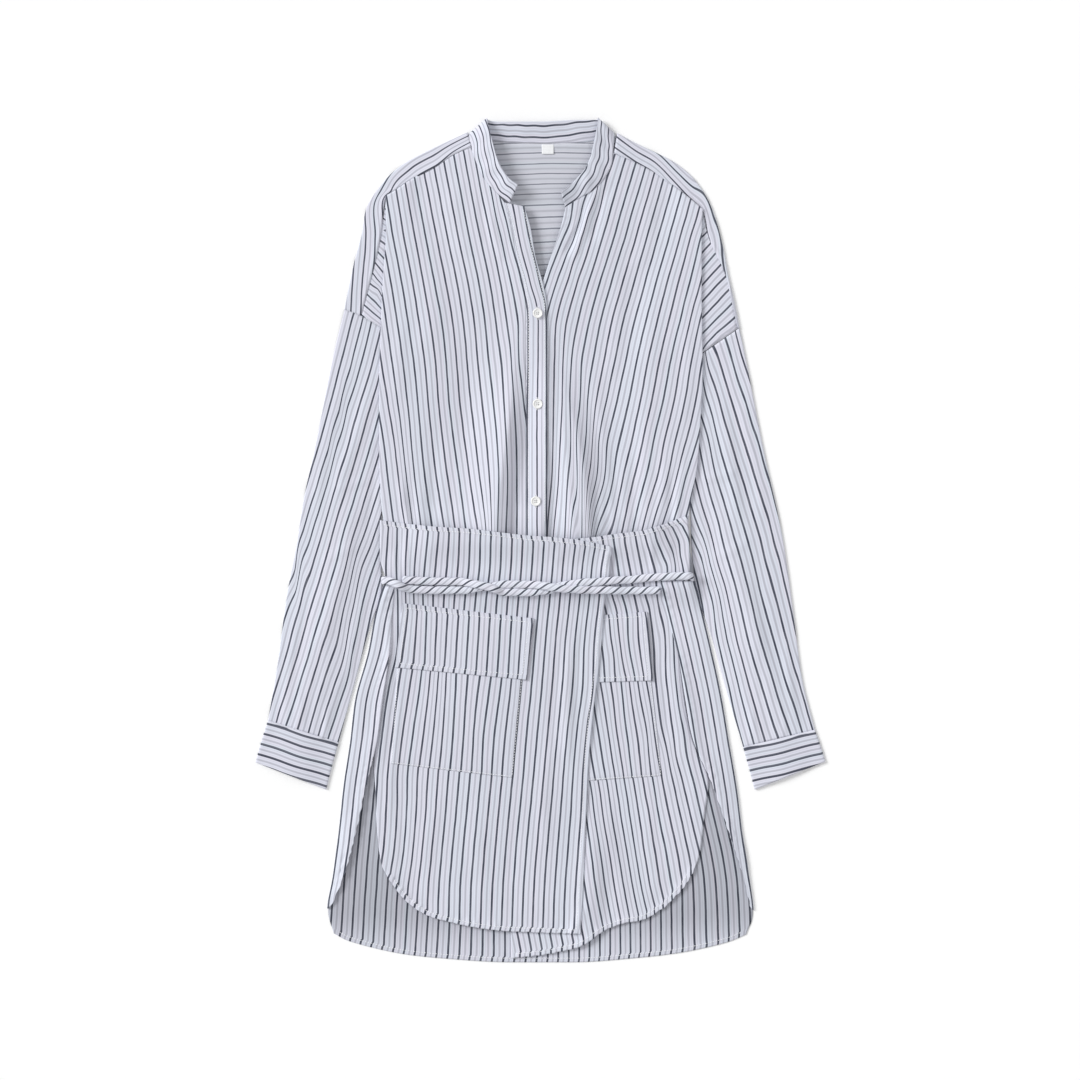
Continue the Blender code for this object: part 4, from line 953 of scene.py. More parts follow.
def striped(name, cloth, dark, half, quarter, strength=1.0, tint=0.5, width=0.082, shade=1.0, shadow=0.0):
    """Woven stripes: a dark line at each whole number, a soft band half way, faint lines between."""
    material, tree, shader = shade_nodes(name, 0.82, 0.12, 0.25)
    uv = add(tree, "ShaderNodeUVMap", {}, "UV", uv_map="Cloth")
    place = add(tree, "ShaderNodeTexCoord", {}, "Object")
    wander = maths(tree, "SUBTRACT", noise(tree, place, 45.0, 2.0), 0.5)
    number = maths(
        tree, "ADD", add(tree, "ShaderNodeSeparateXYZ", {0: uv}, "X"), maths(tree, "MULTIPLY", wander, 0.07)
    )
    to_dark = maths(tree, "PINGPONG", number, 0.5)
    to_half = maths(tree, "SUBTRACT", 0.5, to_dark)
    to_quarter = maths(tree, "ABSOLUTE", maths(tree, "SUBTRACT", to_dark, 0.25))
    dark_line, halo, half_band, quarter_line = (  # each with its half width and the softness of its edges
        eased(tree, distance, half_width - soft, half_width + soft, 1.0, 0.0)
        for distance, half_width, soft in (
            (to_dark, width, 0.02),
            (to_dark, 0.15, 0.05),
            (to_half, 0.085, 0.04),
            (to_quarter, 0.028, 0.02),
        )
    )
    along_it = add(tree, "ShaderNodeMapping", {"Vector": uv, "Scale": (8.0, 0.05, 1.0)})
    streaks = noise(tree, along_it, 1.0, 3.0)
    patches = noise(tree, place, 9.0, 3.0)
    each_stripe = maths(tree, "ROUND", maths(tree, "MULTIPLY", number, 2.0))
    which = add(tree, "ShaderNodeTexWhiteNoise", {"W": each_stripe}, "Value", noise_dimensions="1D")
    cool, warm = tinted(cloth, (0.93, 1.01, 1.03)), tinted(cloth, (1.02, 0.97, 1.02))
    colour = blend(tree, 1 - tint, blend(tree, which, cool, warm), cloth)
    worn = maths(tree, "MULTIPLY_ADD", streaks, 0.5, 0.7)
    for share, line_colour in (
        (maths(tree, "MULTIPLY", streaks, 0.12), half),
        (maths(tree, "MULTIPLY", halo, 0.10), HALO),
        (maths(tree, "MULTIPLY", quarter_line, 0.55 * strength), quarter),
        (maths(tree, "MULTIPLY", half_band, 0.85 * strength), half),
        (maths(tree, "MULTIPLY", maths(tree, "MULTIPLY", dark_line, worn, clamp=True), strength), dark),
    ):
        colour = blend(tree, share, colour, line_colour)
    # shade makes the whole cloth evenly darker and shadow darkens it towards SHADOW_Y's upper end; on the
    # inside of the skirt's back both are painted shade
    light = maths(tree, "MULTIPLY_ADD", patches, 0.10, 0.95 * shade)
    if shadow:
        depth = add(tree, "ShaderNodeSeparateXYZ", {0: place}, "Y")
        start, end = SHADOW_Y
        light = maths(tree, "MULTIPLY", light, eased(tree, depth, start * MM, end * MM, 1.0, 1.0 - shadow))
    colour = add(tree, "ShaderNodeHueSaturation", {"Value": light, "Color": colour})
    grain = maths(tree, "MULTIPLY_ADD", noise(tree, place, 1500.0, 1.0), 0.25, noise(tree, place, 70.0, 3.0))
    finish_nodes(tree, shader, colour, grain, 0.35, 0.6)
    tree.links.new(maths(tree, "MULTIPLY_ADD", patches, 0.12, 0.76), shader.inputs["Roughness"])
    return material


def plain(name, colour, roughness, grain, bump_mm, specular=0.4, change=0.06):
    """One colour with a fine grain: thread, tape, or the shell of a button."""
    material, tree, shader = shade_nodes(name, roughness, specular=specular)
    fine = noise(tree, add(tree, "ShaderNodeTexCoord", {}, "Object"), grain, 3.0)
    darker = tinted(colour, (1 - 2 * change,) * 3)
    finish_nodes(tree, shader, blend(tree, fine, darker, colour), fine, 0.5, bump_mm)
    return material


SHADOW_Y = (-440.0, -392.0)  # painted shadow: the inside of the skirt's back is darker towards its upper end, as if shaded by the front panels
GROUND = (0.715, 0.725, 0.81, 1.0)
SLATE = (0.048, 0.055, 0.082, 1.0)
LILAC = (0.45, 0.455, 0.52, 1.0)
FAINT = (0.57, 0.58, 0.65, 1.0)
INNER = (0.60, 0.61, 0.67, 1.0)
INNER_SLATE = (0.12, 0.13, 0.17, 1.0)
INNER_LILAC = (0.42, 0.43, 0.48, 1.0)
CORD_GROUND = (0.77, 0.78, 0.86, 1.0)
HALO = (0.95, 0.96, 0.99, 1.0)
LINES = (SLATE, LILAC, FAINT)
POPLIN = striped("poplin", GROUND, *LINES, width=0.086)
SKIRT = striped("poplin_of_skirt", GROUND, *LINES, width=0.096, shade=0.98)
CUFF = striped("poplin_of_cuffs", GROUND, *LINES, width=0.11, shade=0.98)
# painted shade on the inside of the skirt's back: evenly darker, and darker still towards its upper end
SHADED = striped("poplin_in_skirt_painted_shade", GROUND, *LINES, width=0.095, shade=0.93, shadow=0.28)
INSIDE = striped("poplin_inside", INNER, INNER_SLATE, INNER_LILAC, INNER, strength=0.85, tint=0.3, width=0.06)
CORD = striped("belt_cloth", CORD_GROUND, *LINES, width=0.09)
THREAD = plain("thread", (0.95, 0.96, 0.98, 1.0), 0.7, 900.0, 0.03)
TAPE = plain("tape", (0.90, 0.91, 0.93, 1.0), 0.75, 1400.0, 0.06)
SHELL = plain("button_shell", (0.90, 0.90, 0.89, 1.0), 0.22, 160.0, 0.02, specular=0.6, change=0.03)


# ---------------------------------------------------------------- camera, light and floor

CAMERA_X = -0.5 * MM
FRAME_WIDTH = 1.1448  # of the square frame on the floor
LENS = 135.0
SENSOR = 36.0
SKY = 0.56
SUNS = (  # place, angle in degrees, strength
    ("key", (-1.35, 0.6, 0.85), 24.0, 2.5),
    ("fill", (1.2, -0.2, 2.2), 50.0, 0.3),
)


def stage():
    scene = bpy.context.scene
    scene.view_settings.view_transform = "Standard"
    scene.world = bpy.data.worlds.new("studio")
    scene.world.use_nodes = True
    background = scene.world.node_tree.nodes["Background"]
    background.inputs["Color"].default_value = (1.0, 1.0, 1.0, 1.0)
    background.inputs["Strength"].default_value = SKY

    camera = bpy.data.cameras.new("camera")
    camera.lens, camera.sensor_width, camera.clip_end = LENS, SENSOR, 20.0
    scene.camera = linked("camera", camera)
    scene.camera.location = (CAMERA_X, 0.0, FRAME_WIDTH * LENS / SENSOR)

    for name, place, width, power in SUNS:
        lamp = bpy.data.lights.new(name, "SUN")
        lamp.angle, lamp.energy = math.radians(width), power
        lit = linked(name, lamp)
        lit.location = place
        aim = -unit(np.array(place))
        lit.rotation_euler = (math.acos(-aim[2]), 0.0, math.atan2(-aim[0], aim[1]))

    bpy.ops.mesh.primitive_plane_add(size=8.0)
    floor = bpy.context.object
    floor.name = "floor"
    material, _, shader = shade_nodes("floor", 0.9)
    shader.inputs["Base Color"].default_value = (0.97, 0.97, 0.97, 1.0)
    floor.data.materials.append(material)


stage()


# ---------------------------------------------------------------- belt

BELT_SIDES = 24
BELT_RING_STEP = 1.6
BELT_BIAS = 1.15  # run of a stripe round the cord for one unit along it
BELT_STRIPE_PITCH = 15.2
BELT_FULL = 1.14  # how far its soft sides bulge
BELT_TIP = ((0.0, 0.30), (0.35, 0.62), (0.9, 0.84), (1.7, 0.96), (2.8, 1.0))  # from its end, share
BELT_CROSSED_REACH = 4.0  # beyond the ends of both strands


def strand_y(table, x):
    rows = np.array(table, float)
    i = np.clip(np.searchsorted(rows[:, 0], x, "right") - 1, 0, len(rows) - 2)
    return mix(rows[i, 1], rows[i + 1, 1], ramp(x, rows[i, 0], rows[i + 1, 0]))


def a_on_top(x):
    return (x < BELT_A_OVER_BEFORE) | (x > BELT_A_OVER_AFTER)


def strand(table, end, on_top):
    """One strand in front, lifted where it crosses over the other: x, y, z, half height."""
    start = table[0][0]
    x = np.linspace(start, end, round(abs(end - start) / BELT_STEP) + 1)
    y = strand_y(table, x)
    apart = np.abs(strand_y(BELT_STRAND_A, x) - strand_y(BELT_STRAND_B, x)) / (BELT_WIDTH + BELT_CLEARANCE)
    crossed = (x > BELT_STRAND_B[0][0] - BELT_CROSSED_REACH) & (x < BELT_FRONT_END_A + BELT_CROSSED_REACH)
    lift = (BELT_HEIGHT + BELT_CLEARANCE) * np.sqrt(np.maximum(0.0, 1 - apart**2)) * (crossed & on_top(x))
    under = under_height(x, y)
    rest = mix(under + over_lift(x, y, POCKET_PITCH), under, ramp(x, *BELT_OFF_OVER_PANEL))
    half = np.full(x.shape, BELT_HEIGHT / 2)
    return np.stack([x, y, rest + CLOTH / 2 + BELT_CLEARANCE + half + lift, half], axis=1)


def round_side(front_end, side_x, behind):
    """The belt's way from a strand's end round the side of the dress."""
    angle = math.pi * np.arange(1, BELT_SIDE_POINTS + 1) / (BELT_SIDE_POINTS + 1)
    points = mix(front_end, np.array([front_end[0], *behind]), ((1 - np.cos(angle)) / 2)[:, None])
    points[:, 0] += (side_x - front_end[0]) * np.sin(angle) ** 0.5
    return points


def belt_route():
    """The belt's route, as its solid has it: x, y, z, half height."""
    b_run = strand(BELT_STRAND_B, BELT_STRAND_B[-1][0], lambda x: ~a_on_top(x))
    a_run = strand(BELT_STRAND_A, BELT_FRONT_END_A, a_on_top)
    half = BELT_BACK_HEIGHT / 2
    behind = (BELT_BACK_Y, half + BELT_FLOOR_GAP, half)
    left = round_side(b_run[-1], BELT_SIDE_LEFT, behind)
    right = round_side(a_run[0], BELT_SIDE_RIGHT, behind)
    back = spread((b_run[-1, 0], *behind), (a_run[0, 0], *behind), BELT_BACK_POINTS + 1)
    return np.concatenate([b_run, left, back, right[::-1], a_run])


def belt():
    """A rouleau: a narrow bias tube turned right side out, with closed ends."""
    route = belt_route()
    lengths = running(route[:, :3])
    total = lengths[-1]
    tips, thickness = np.array(BELT_TIP).T
    middle = np.arange(tips[-1] + BELT_RING_STEP, total - tips[-1], BELT_RING_STEP)
    at = np.concatenate([tips, middle, total - tips[::-1]])
    line = smooth(at, lengths, route)
    share = np.interp(np.minimum(at, total - at), tips, thickness)
    forward = unit(np.gradient(line[:, :3], axis=0))
    across = unit(np.array([0.0, 1.0, 0.0]) - forward * forward[:, 1:2])
    up = np.cross(forward, across)
    angle = np.linspace(-math.pi / 2, 1.5 * math.pi, BELT_SIDES + 1)
    at = at[:, None]
    wrinkle = 1 + 0.035 * np.sin(at / 2.1 + 1.3 * angle + 2 * np.sin(at / 13))
    wrinkle = wrinkle - 0.03 * (1 + np.sin(at / 5.3 + angle))
    wide = (BELT_FULL * BELT_WIDTH / 2 * share)[:, None] * wrinkle * np.cos(angle)
    high = (line[:, 3] * share)[:, None] * wrinkle * np.sin(angle)
    points = line[:, None, :3] + across[:, None] * wide[..., None] + up[:, None] * high[..., None]
    points[..., 2] = np.maximum(points[..., 2], BELT_FLOOR_GAP)
    stripe = (at + BELT_BIAS * BELT_WIDTH / 2 * angle) / BELT_STRIPE_PITCH
    first, last = (np.broadcast_to(line[end, :3], points[end].shape) for end in (0, -1))
    caps = [grid([first, points[0]], stripe[:1]), grid([points[-1], last], stripe[-1:])]
    made = make("belt", [grid(points, stripe), *caps], [CORD], "belt_cord", wall=0)


belt()


# ---------------------------------------------------------------- shirt


def front(node, top, rows, drop_seam, armhole, height, stripes, drop_stripes, sign):
    """A front: its face, the fold at the side with the cloth turned under, and the drop."""
    armpit = len(drop_seam)
    free_edge = sign > 0  # the right front's edge lies under the placket
    control = sections(top, rows)
    down = gaps(control, 0)
    plan = refine(control, GRAIN_STEP, CROSS_STEP, (False, False, False, free_edge))
    x, y = xy(plan)
    edges = [{"line": plan[:, -1], "drop": 0.2, "jog": 0.0}] if free_edge else []
    dz, wall, jog = on_edges(x, y, *edges)
    face = raised(plan, height(x, y) + dz)
    stripe = stripes_from(stripes)(x, y) + jog

    fold_x, fold_y = xy(control[:, 0])
    below = np.arange(len(control)) - armpit
    end_x = [top[0][0] - sign * TURNED_AT_TOP] + [row[4] for row in rows]
    end_y = np.where(below == 0, armhole[-1][1], fold_y)
    end_z = mix(height(fold_x, fold_y) - PITCH, layer(1, fold_y), ramp(below, 0, 2))
    legs = np.stack([end_x, end_y, end_z], axis=1)
    at = stops(down[-1], GRAIN_STEP)
    ends = smooth(at, down, legs)
    fold = face[:, 0] - (0, 0, PITCH)
    share = TURN_UNDER / np.maximum(np.abs(fold[:, 0] - ends[:, 0]), TURN_UNDER)
    near = mix(ends, fold, share[:, None])
    near[:, 2] = fold[:, 2]
    leg = [*np.linspace(ends, near, 6)[:-1], *np.linspace(near, fold, 4)[:-1]]
    turned = np.concatenate([np.stack(leg, axis=1), bend(fold, face[:, 0], (sign, 0))], axis=1)

    above = at <= down[armpit] + 0.01
    hole = np.array(armhole[1:], float)
    if sign > 0:
        hole[0] = armhole[0]
    hole[-1] = legs[armpit, :2]
    control = np.array([*(spread(a, b, 4) for a, b in zip(drop_seam, legs[:, :2])), hole])
    drop = smooth(at[above], down[: armpit + 1], control)
    across = gaps(control, 1)
    drop = reach_over(smooth_across(stops(across[-1], DROP_STEP), across, drop), -1)
    drop = raised(drop, layer(1, drop[..., 1]) + 0.35 * unevenness(*xy(drop)))
    strip = np.concatenate([drop[:, :-1], bend(drop[:, -1], ends[above], (-sign, 0))], axis=1)
    grids = [
        grid(face, stripe, wall),
        grid(turned, stripe[:, :1] + sign * back_from(turned) / STRIPE_PITCH),
        grid(strip, stripes_across(drop_stripes)(*xy(strip))),
    ]
    make(node, grids, [POPLIN])


def placket():
    rows = np.array(PLACKET_ROWS, float)
    control = np.linspace(rows[:, :2], rows[:, 2:], 3, axis=1)
    plan = refine(control, GRAIN_STEP, PLACKET_STEP, (False, False, True, True))
    x, y = xy(plan)
    edge = {"band": 3.0, "wall": 0.3, "drop": 0.5, "jog": 0.0}
    right, left = {"line": plan[:, 0], "pucker": 0.3, **edge}, {"line": plan[:, -1], "pucker": 0.1, **edge}
    dz, wall, _ = on_edges(x, y, right, left)
    points = raised(plan, placket_height(x, y) + dz + PLACKET_RISE)
    make("placket", [grid(points, stripes_from(PLACKET_STRIPES)(x, y), np.maximum(wall, 0.3))], [POPLIN])
    PLANS["placket"] = plan


def to_back_seam(edge, back_x):
    """Columns of the yoke's back, from its upper edge to the seam with the back panel."""
    low = np.stack([back_x, np.interp(back_x, *np.transpose(BACK_YOKE_SEAM))], axis=1)
    return np.linspace(edge[:, :2], low, YOKE_COLUMN, axis=1)


def yoke():
    grids, backs = [], []
    for table, stripes, way in ((YOKE_RIGHT, YOKE_RIGHT_STRIPES, -1), (YOKE_LEFT, YOKE_LEFT_STRIPES, 1)):
        table = np.array(table, float)
        control = table[:, :4].reshape(-1, 2, 2)
        plan = reach_over(refine(control, YOKE_STEP, YOKE_CROSS_STEP), axis=1)
        x, y = xy(plan)
        dz, wall, _ = on_edges(x, y, {"line": plan[:, 0], **SEAM})
        top = raised(plan, layer(1, y) + neck_rise(x, y) + 0.3 * unevenness(x, y) + dz)
        low = raised(plan[:, -1], layer(0, y[:, -1]))
        over = bend(top[:, -1], low, unit(plan[:, -1] - plan[:, 0]).T[:, :, None])
        down = gaps(control, 0)
        known = np.column_stack([stripes, table[:, 4]])
        first, apart, back_x = smooth(stops(down[-1], YOKE_STEP), down, known).T[:, :, None]
        if way < 0:
            stripe = (np.hypot(x - x[:, -1:], y - y[:, -1:]) - first) / apart
        else:
            stripe = first + np.hypot(x - x[:, :1], y - y[:, :1]) / apart
        grids.append(grid(top, stripe, wall))
        grids.append(grid(over, stripe[:, -1:] + way * running(over, 1) / apart))
        backs.append(to_back_seam(low, back_x[:, 0]))
    known = np.column_stack([NECK_BACK, NECK_BACK_X])
    neck = smooth(np.linspace(0, len(known) - 1, NECK_COLUMNS), np.arange(len(known)), known)
    back = np.concatenate([backs[0], to_back_seam(neck, neck[:, 2]), backs[1]])
    x, y = xy(back)
    seam = {"band": 4.5, "wall": 0.5, "drop": 0.0, "jog": 0.0, "pucker": 0.4, "rise": 0.5}
    dz, wall, _ = on_edges(x, y, {"line": neck[:, :2], **seam})
    grids.append(grid(raised(back, layer(0, y) + dz), inside_stripes(x, y), wall, side=1))
    make("yoke", grids, [POPLIN, INSIDE])


def bodice_back():
    plan = reach_over(refine(sections(BACK_YOKE_SEAM, BACK_ROWS), HIDDEN_STEP, HIDDEN_STEP))
    x, y = xy(plan)
    make("bodice_back", [grid(raised(plan, layer(0, y)), x / STRIPE_PITCH)], [POPLIN])


def collar_band():
    band = np.array(BAND, float)
    seam, free, side = band[:, :2], band[:, 2:4], band[:, 4]
    seam_z = mix(layer(0, seam[:, 1]), np.where(side > 0, front_height(*xy(seam)), 0.0), side)
    stand = mix(1.0, LEFT_STAND, ramp(seam[:, 0], 20, 50) * side)
    free_z = seam_z + mix(BAND_STAND_BACK, BAND_STAND, side) * stand
    control = np.linspace(raised(seam, seam_z), raised(free, free_z), 3, axis=1)
    control[:, 1, 2] += BAND_ROLL
    points = reach_over(refine(control, COLLAR_STEP, COLLAR_CROSS_STEP), axis=1, by=COLLAR_OVERLAP)
    down = gaps(control, 0)
    at = stops(down[-1], COLLAR_STEP)
    known = np.column_stack([side, stand, COLLAR_STRIPES])
    side, stand, first, apart = smooth(at, down, known).T[:, :, None]
    at = at[:, None]
    across = running(points, 1)
    width = across[:, -1:]
    share = across / width
    worn = mix(0.35, 1.0, side)  # crumpled in front, smoother behind
    crumple = 0.9 * np.sin(at / 7.1 + 1.5 * np.sin(at / 17)) * np.sin(math.pi * share) ** 2
    crumple = crumple + 0.5 * np.sin(at / 3.1 + 4 * share) * share * (1 - share) * 3
    lean = COLLAR_STAND * stand * share**1.5 * (1 + 0.25 * np.sin(at / 19))
    points[..., 2] += 0.25 + crumple * worn + lean
    drift = worn * (0.05 * np.sin(at / 11 + 0.8) + 0.06 * np.sin(at / 3.3 + 1.2 * np.sin(at / 19)))
    stripe = (width - across - first) / apart + drift
    wall = np.where(share < 0.2, 0.5, 0.25)
    make("collar_band", [grid(points, stripe, wall)], [POPLIN], name="collar_cloth")


def tube(node, top, rows, number, sign, puff, creases=(), over=0.0, wall=0.0, step=GRAIN_STEP, cloth=POPLIN):
    """A sleeve or cuff lying flat: a lower and an upper layer with a fold at each side."""
    plan = refine(sections(top, rows), step, TUBE_CROSS_STEP)
    if over:
        plan = reach_over(plan, by=over)
    x, y = xy(plan)
    arch = np.sin(np.linspace(0, math.pi, x.shape[1]))
    rise = puff(y) * arch**2 + (folds(x, y, creases) + 1.3 * unevenness(x, y)) * np.minimum(1, 2.2 * arch)
    low = raised(plan, np.full(x.shape, CLOTH / 2))
    high = raised(plan, CLOTH / 2 + PITCH + rise + (SEAM_RISE if over else 0.0))
    outward = unit(plan[:, -1] - plan[:, 0]).T[:, :, None]
    outer = bend(low[:, 0], high[:, 0], -outward)
    inner = bend(high[:, -1], low[:, -1], outward)
    stripe = number(x, y)
    round_outer = stripe[:, :1] - sign * back_from(outer) / STRIPE_PITCH
    beneath = round_outer[:, :1] - sign * running(low, 1) / STRIPE_PITCH
    grids = [
        grid(high, stripe, wall),
        grid(inner, stripe[:, -1:] + sign * running(inner, 1) / STRIPE_PITCH),
        grid(low[:, ::-1], beneath[:, ::-1], wall),
        grid(outer, round_outer),
    ]
    make(node, grids, [cloth])


def sleeve_puff(y):
    from_armhole, from_cuff = SLEEVE_FULL
    return SLEEVE_PUFF * (1 - ramp(y, from_armhole[1], from_armhole[0])) * ramp(y, *from_cuff)


def cuff_puff(y):
    return CUFF_PUFF + 0 * y


def cuff_stripes(rows):
    """Stripes along a cuff, counted from its seam with the sleeve."""
    seam = np.reshape(rows[0], (2, 2)).astype(float)

    def number(x, y):
        off, at = to_line(x, y, seam)
        return (off - 3.0 + 0.5 * np.sin(at / 9)) / CUFF_STRIPE_PITCH

    return number


# ---------------------------------------------------------------- skirt


def sides_of(plan):
    return {"top": plan[0], "bottom": plan[-1], "right": plan[:, 0], "left": plan[:, -1]}


def crinkled(plan):
    """Hems that aren't pressed run in small waves."""
    off, at = to_line(*xy(plan), plan[-1])
    wave = np.sin(at / 1.6 + 1.7 * np.sin(at / 11)) * (0.7 + 0.3 * np.sin(at / 29 + 1))
    shift = CRINKLE * wave * (1 - ramp(off, 0, CRINKLE_REACH))
    return plan + shift[..., None] * (0.6, -0.8)


def skirt_panel(node, top, rows, hem, columns, height, stripes, right_hem, left_hem):
    control = sections(along(top, columns), rows, [along(hem, columns)])
    plan = crinkled(refine(control, GRAIN_STEP, CROSS_STEP, (True, True, right_hem, left_hem)))
    x, y = xy(plan)
    edges = [
        {"line": plan[0], "drop": 0.2, "jog": 0.2},
        {"line": plan[-1], "drop": -HEM_LIFT, "jog": 0.2, "pucker": 0.6},
    ]
    if right_hem:
        edges.append({"line": plan[:, 0], "jog": 0.0})
    if left_hem:
        edges.append({"line": plan[:, -1], "drop": 0.6, "jog": 0.0})
    dz, wall, jog = on_edges(x, y, *edges)
    make(node, [grid(raised(plan, height(x, y) + dz), stripes_from(stripes)(x, y) + jog, wall)], [SKIRT])
    PLANS[node] = plan


def skirt_back():
    """The longer back, whose sides are folded forward below the belt."""
    top = spread(BACK_TOP[:2], BACK_TOP[2:], len(BACK_HEM))
    control = sections(top, SKIRT_BACK_ROWS, [BACK_HEM])
    plan = refine(control, GRAIN_STEP, BACK_CROSS_STEP, (False, True, False, False))
    x, y = xy(plan)
    dz, wall, jog = on_edges(x, y, {"line": plan[-1], "drop": 0.1, "pucker": 0.1})
    flat = raised(plan, skirt_back_height(y) + dz)
    # the flat back takes material 1, the poplin with painted shade
    grids = [grid(flat, stripes_from(SKIRT_BACK_STRIPES)(x, y) + jog, wall, side=1)]

    down = gaps(control, 0)
    at = stops(down[-1], GRAIN_STEP, False, True)
    for table, column, sign in ((BACK_FLAP_RIGHT, 0, -1), (BACK_FLAP_LEFT, -1, 1)):
        keys = down[-1 - len(table) : -1]
        chosen = (at >= keys[0] - 0.01) & (at <= keys[-1] + 0.01)
        fold = flat[chosen, column]
        edge = smooth(at[chosen], keys, table)
        y = edge[:, 1]
        edge[:, 0] += 0.6 * np.sin(y / 1.9 + 1.6 * np.sin(y / 13)) * ramp(-y, 210, 260)
        strip = np.linspace(fold[:, :2], edge, FLAP_COLUMNS, axis=1)
        x, y = xy(strip)
        run = np.abs(x - x[:, :1])
        free = to_line(x, y, edge)[0]
        level = skirt_back_height(y) + PITCH + FLAP_AT_BELT * np.exp(-(((y + 54) / 13) ** 2))
        level = level + np.maximum(under_height(x, y) + FLAP_ON_PANEL - level, 0) * ramp(run, 0, 5)
        wave = 0.5 * np.exp(-(((free - 9) / 6) ** 2)) * (1 + np.sin(y / 14 + sign)) * ramp(-y, 120, 200)
        wave = wave + FLAP_LIFT * (1 - ramp(free, 0, 13)) * ramp(run, 2, 12) * ramp(-y, 90, 150)
        dz, wall, jog = on_edges(x, y, {"line": edge, "jog": 0.0, "pucker": 0.8})
        top = raised(strip, level + wave + dz * np.minimum(1, run / 6))
        ring = bend(fold, top[:, 0], (sign, 0))
        stripe = (run - FLAP_FIRST_STRIPE) / STRIPE_PITCH
        from_fold = gaps(ring, 1)
        round_fold = stripe[:, :1] + (from_fold - from_fold[-1]) / STRIPE_PITCH
        order = slice(None, None, sign)
        grids.append(grid(top[:, order], (stripe + jog)[:, order], wall[:, order]))
        grids.append(grid(ring[:, order], round_fold[:, order]))
    make("skirt_back", grids, [POPLIN, SHADED])
    PLANS["skirt_back"] = plan


def pocket(node, corners, height, stripes, is_flap):
    """A pouch, or the flap that lies on it."""
    a, b, c, d = np.array(corners, float)
    plan = refine(spread(spread(a, b, 4), spread(d, c, 4), 4), POCKET_STEP, POCKET_STEP, (True,) * 4)
    x, y = xy(plan)
    edges = []
    for side, line in sides_of(plan).items():
        if is_flap:
            jog = 0.12 if side in ("top", "bottom") else 0.0
            edge = {"band": 5.5, "drop": FLAP_DROPS[side], "jog": jog, "pucker": 0.2}
        else:
            edge = {"band": 2.0, "wall": 0.15, "drop": POUCH_DROPS[side], "jog": 0.0, "pucker": 0.15}
        edges.append({"line": line, **edge})
    dz, wall, jog = on_edges(x, y, *edges)
    dz = np.maximum(dz, -FLAP_LEAST if is_flap else -POUCH_LEAST)
    rise = POCKET_LAYER * (2 if is_flap else 1)
    sag = 0.2 * np.sin(x / 21 + 1) * np.sin(y / 18) * 0.6
    points = raised(plan, height(x, y) + rise + dz + sag)
    make(node, [grid(points, stripes_from(stripes)(x, y) + jog, wall)], [SKIRT])
    PLANS[node] = plan


# ---------------------------------------------------------------- build the cloth

front(
    "front_right",
    FRONT_RIGHT_TOP,
    FRONT_RIGHT_ROWS,
    DROP_RIGHT_SEAM,
    ARMHOLE_RIGHT,
    right_front_height,
    FRONT_RIGHT_STRIPES,
    DROP_RIGHT_STRIPES,
    sign=-1,
)
front(
    "front_left",
    FRONT_LEFT_TOP,
    FRONT_LEFT_ROWS,
    DROP_LEFT_SEAM,
    ARMHOLE_LEFT,
    front_height,
    FRONT_LEFT_STRIPES,
    DROP_LEFT_STRIPES,
    sign=1,
)
placket()
yoke()
bodice_back()
collar_band()
for node, armhole, rows, stripes, sign, creases in (
    ("sleeve_right", ARMHOLE_RIGHT, SLEEVE_RIGHT_ROWS, SLEEVE_RIGHT_STRIPES, 1, SLEEVE_RIGHT_FOLDS),
    ("sleeve_left", ARMHOLE_LEFT, SLEEVE_LEFT_ROWS, SLEEVE_LEFT_STRIPES, -1, SLEEVE_LEFT_FOLDS),
):
    tube(node, armhole, rows, stripes_from(stripes), sign, sleeve_puff, creases)
for node, rows in (("cuff_right", CUFF_RIGHT_ROWS), ("cuff_left", CUFF_LEFT_ROWS)):
    seam = spread(rows[0][:2], rows[0][2:], 5)
    looks = {"over": SEAM_OVERLAP, "wall": 0.35, "step": CUFF_STEP, "cloth": CUFF}
    tube(node, seam, rows[1:], cuff_stripes(rows), 0, cuff_puff, **looks)
skirt_back()
skirt_panel("skirt_under", UNDER_TOP, UNDER_ROWS, UNDER_HEM, 20, under_height, UNDER_STRIPES, True, False)
skirt_panel("skirt_over", OVER_TOP, OVER_ROWS, OVER_HEM, 9, over_height, OVER_STRIPES, False, True)
pocket("pocket_over", OVER_POUCH, over_height, OVER_POUCH_STRIPES, False)
pocket("pocket_flap_over", OVER_FLAP, over_height, OVER_FLAP_STRIPES, True)
pocket("pocket_under", UNDER_POUCH, under_height, UNDER_POUCH_STRIPES, False)
pocket("pocket_flap_under", UNDER_FLAP, under_height, UNDER_FLAP_STRIPES, True)


# ---------------------------------------------------------------- buttons and label

BUTTON_OUTLINE = (  # radius, height
    (0.0, 0.15), (3.4, 0.15), (4.7, 0.35), (5.2, 0.85), (5.3, 1.3), (5.15, 1.95), (4.75, 2.33),
    (4.3, 2.4), (3.85, 2.25), (3.5, 1.85), (3.1, 1.68), (0.0, 1.62),
)
BUTTON_SIDES = 48
HOLE_RADIUS = 0.62
HOLE_OFFSET = 1.35
HOLE_SIDES = 16
BUTTON_SHARP = math.radians(40)  # edges of the holes
LABEL_HEIGHT = 1.45
LABEL_COLUMNS, LABEL_ROWS = 26, 21


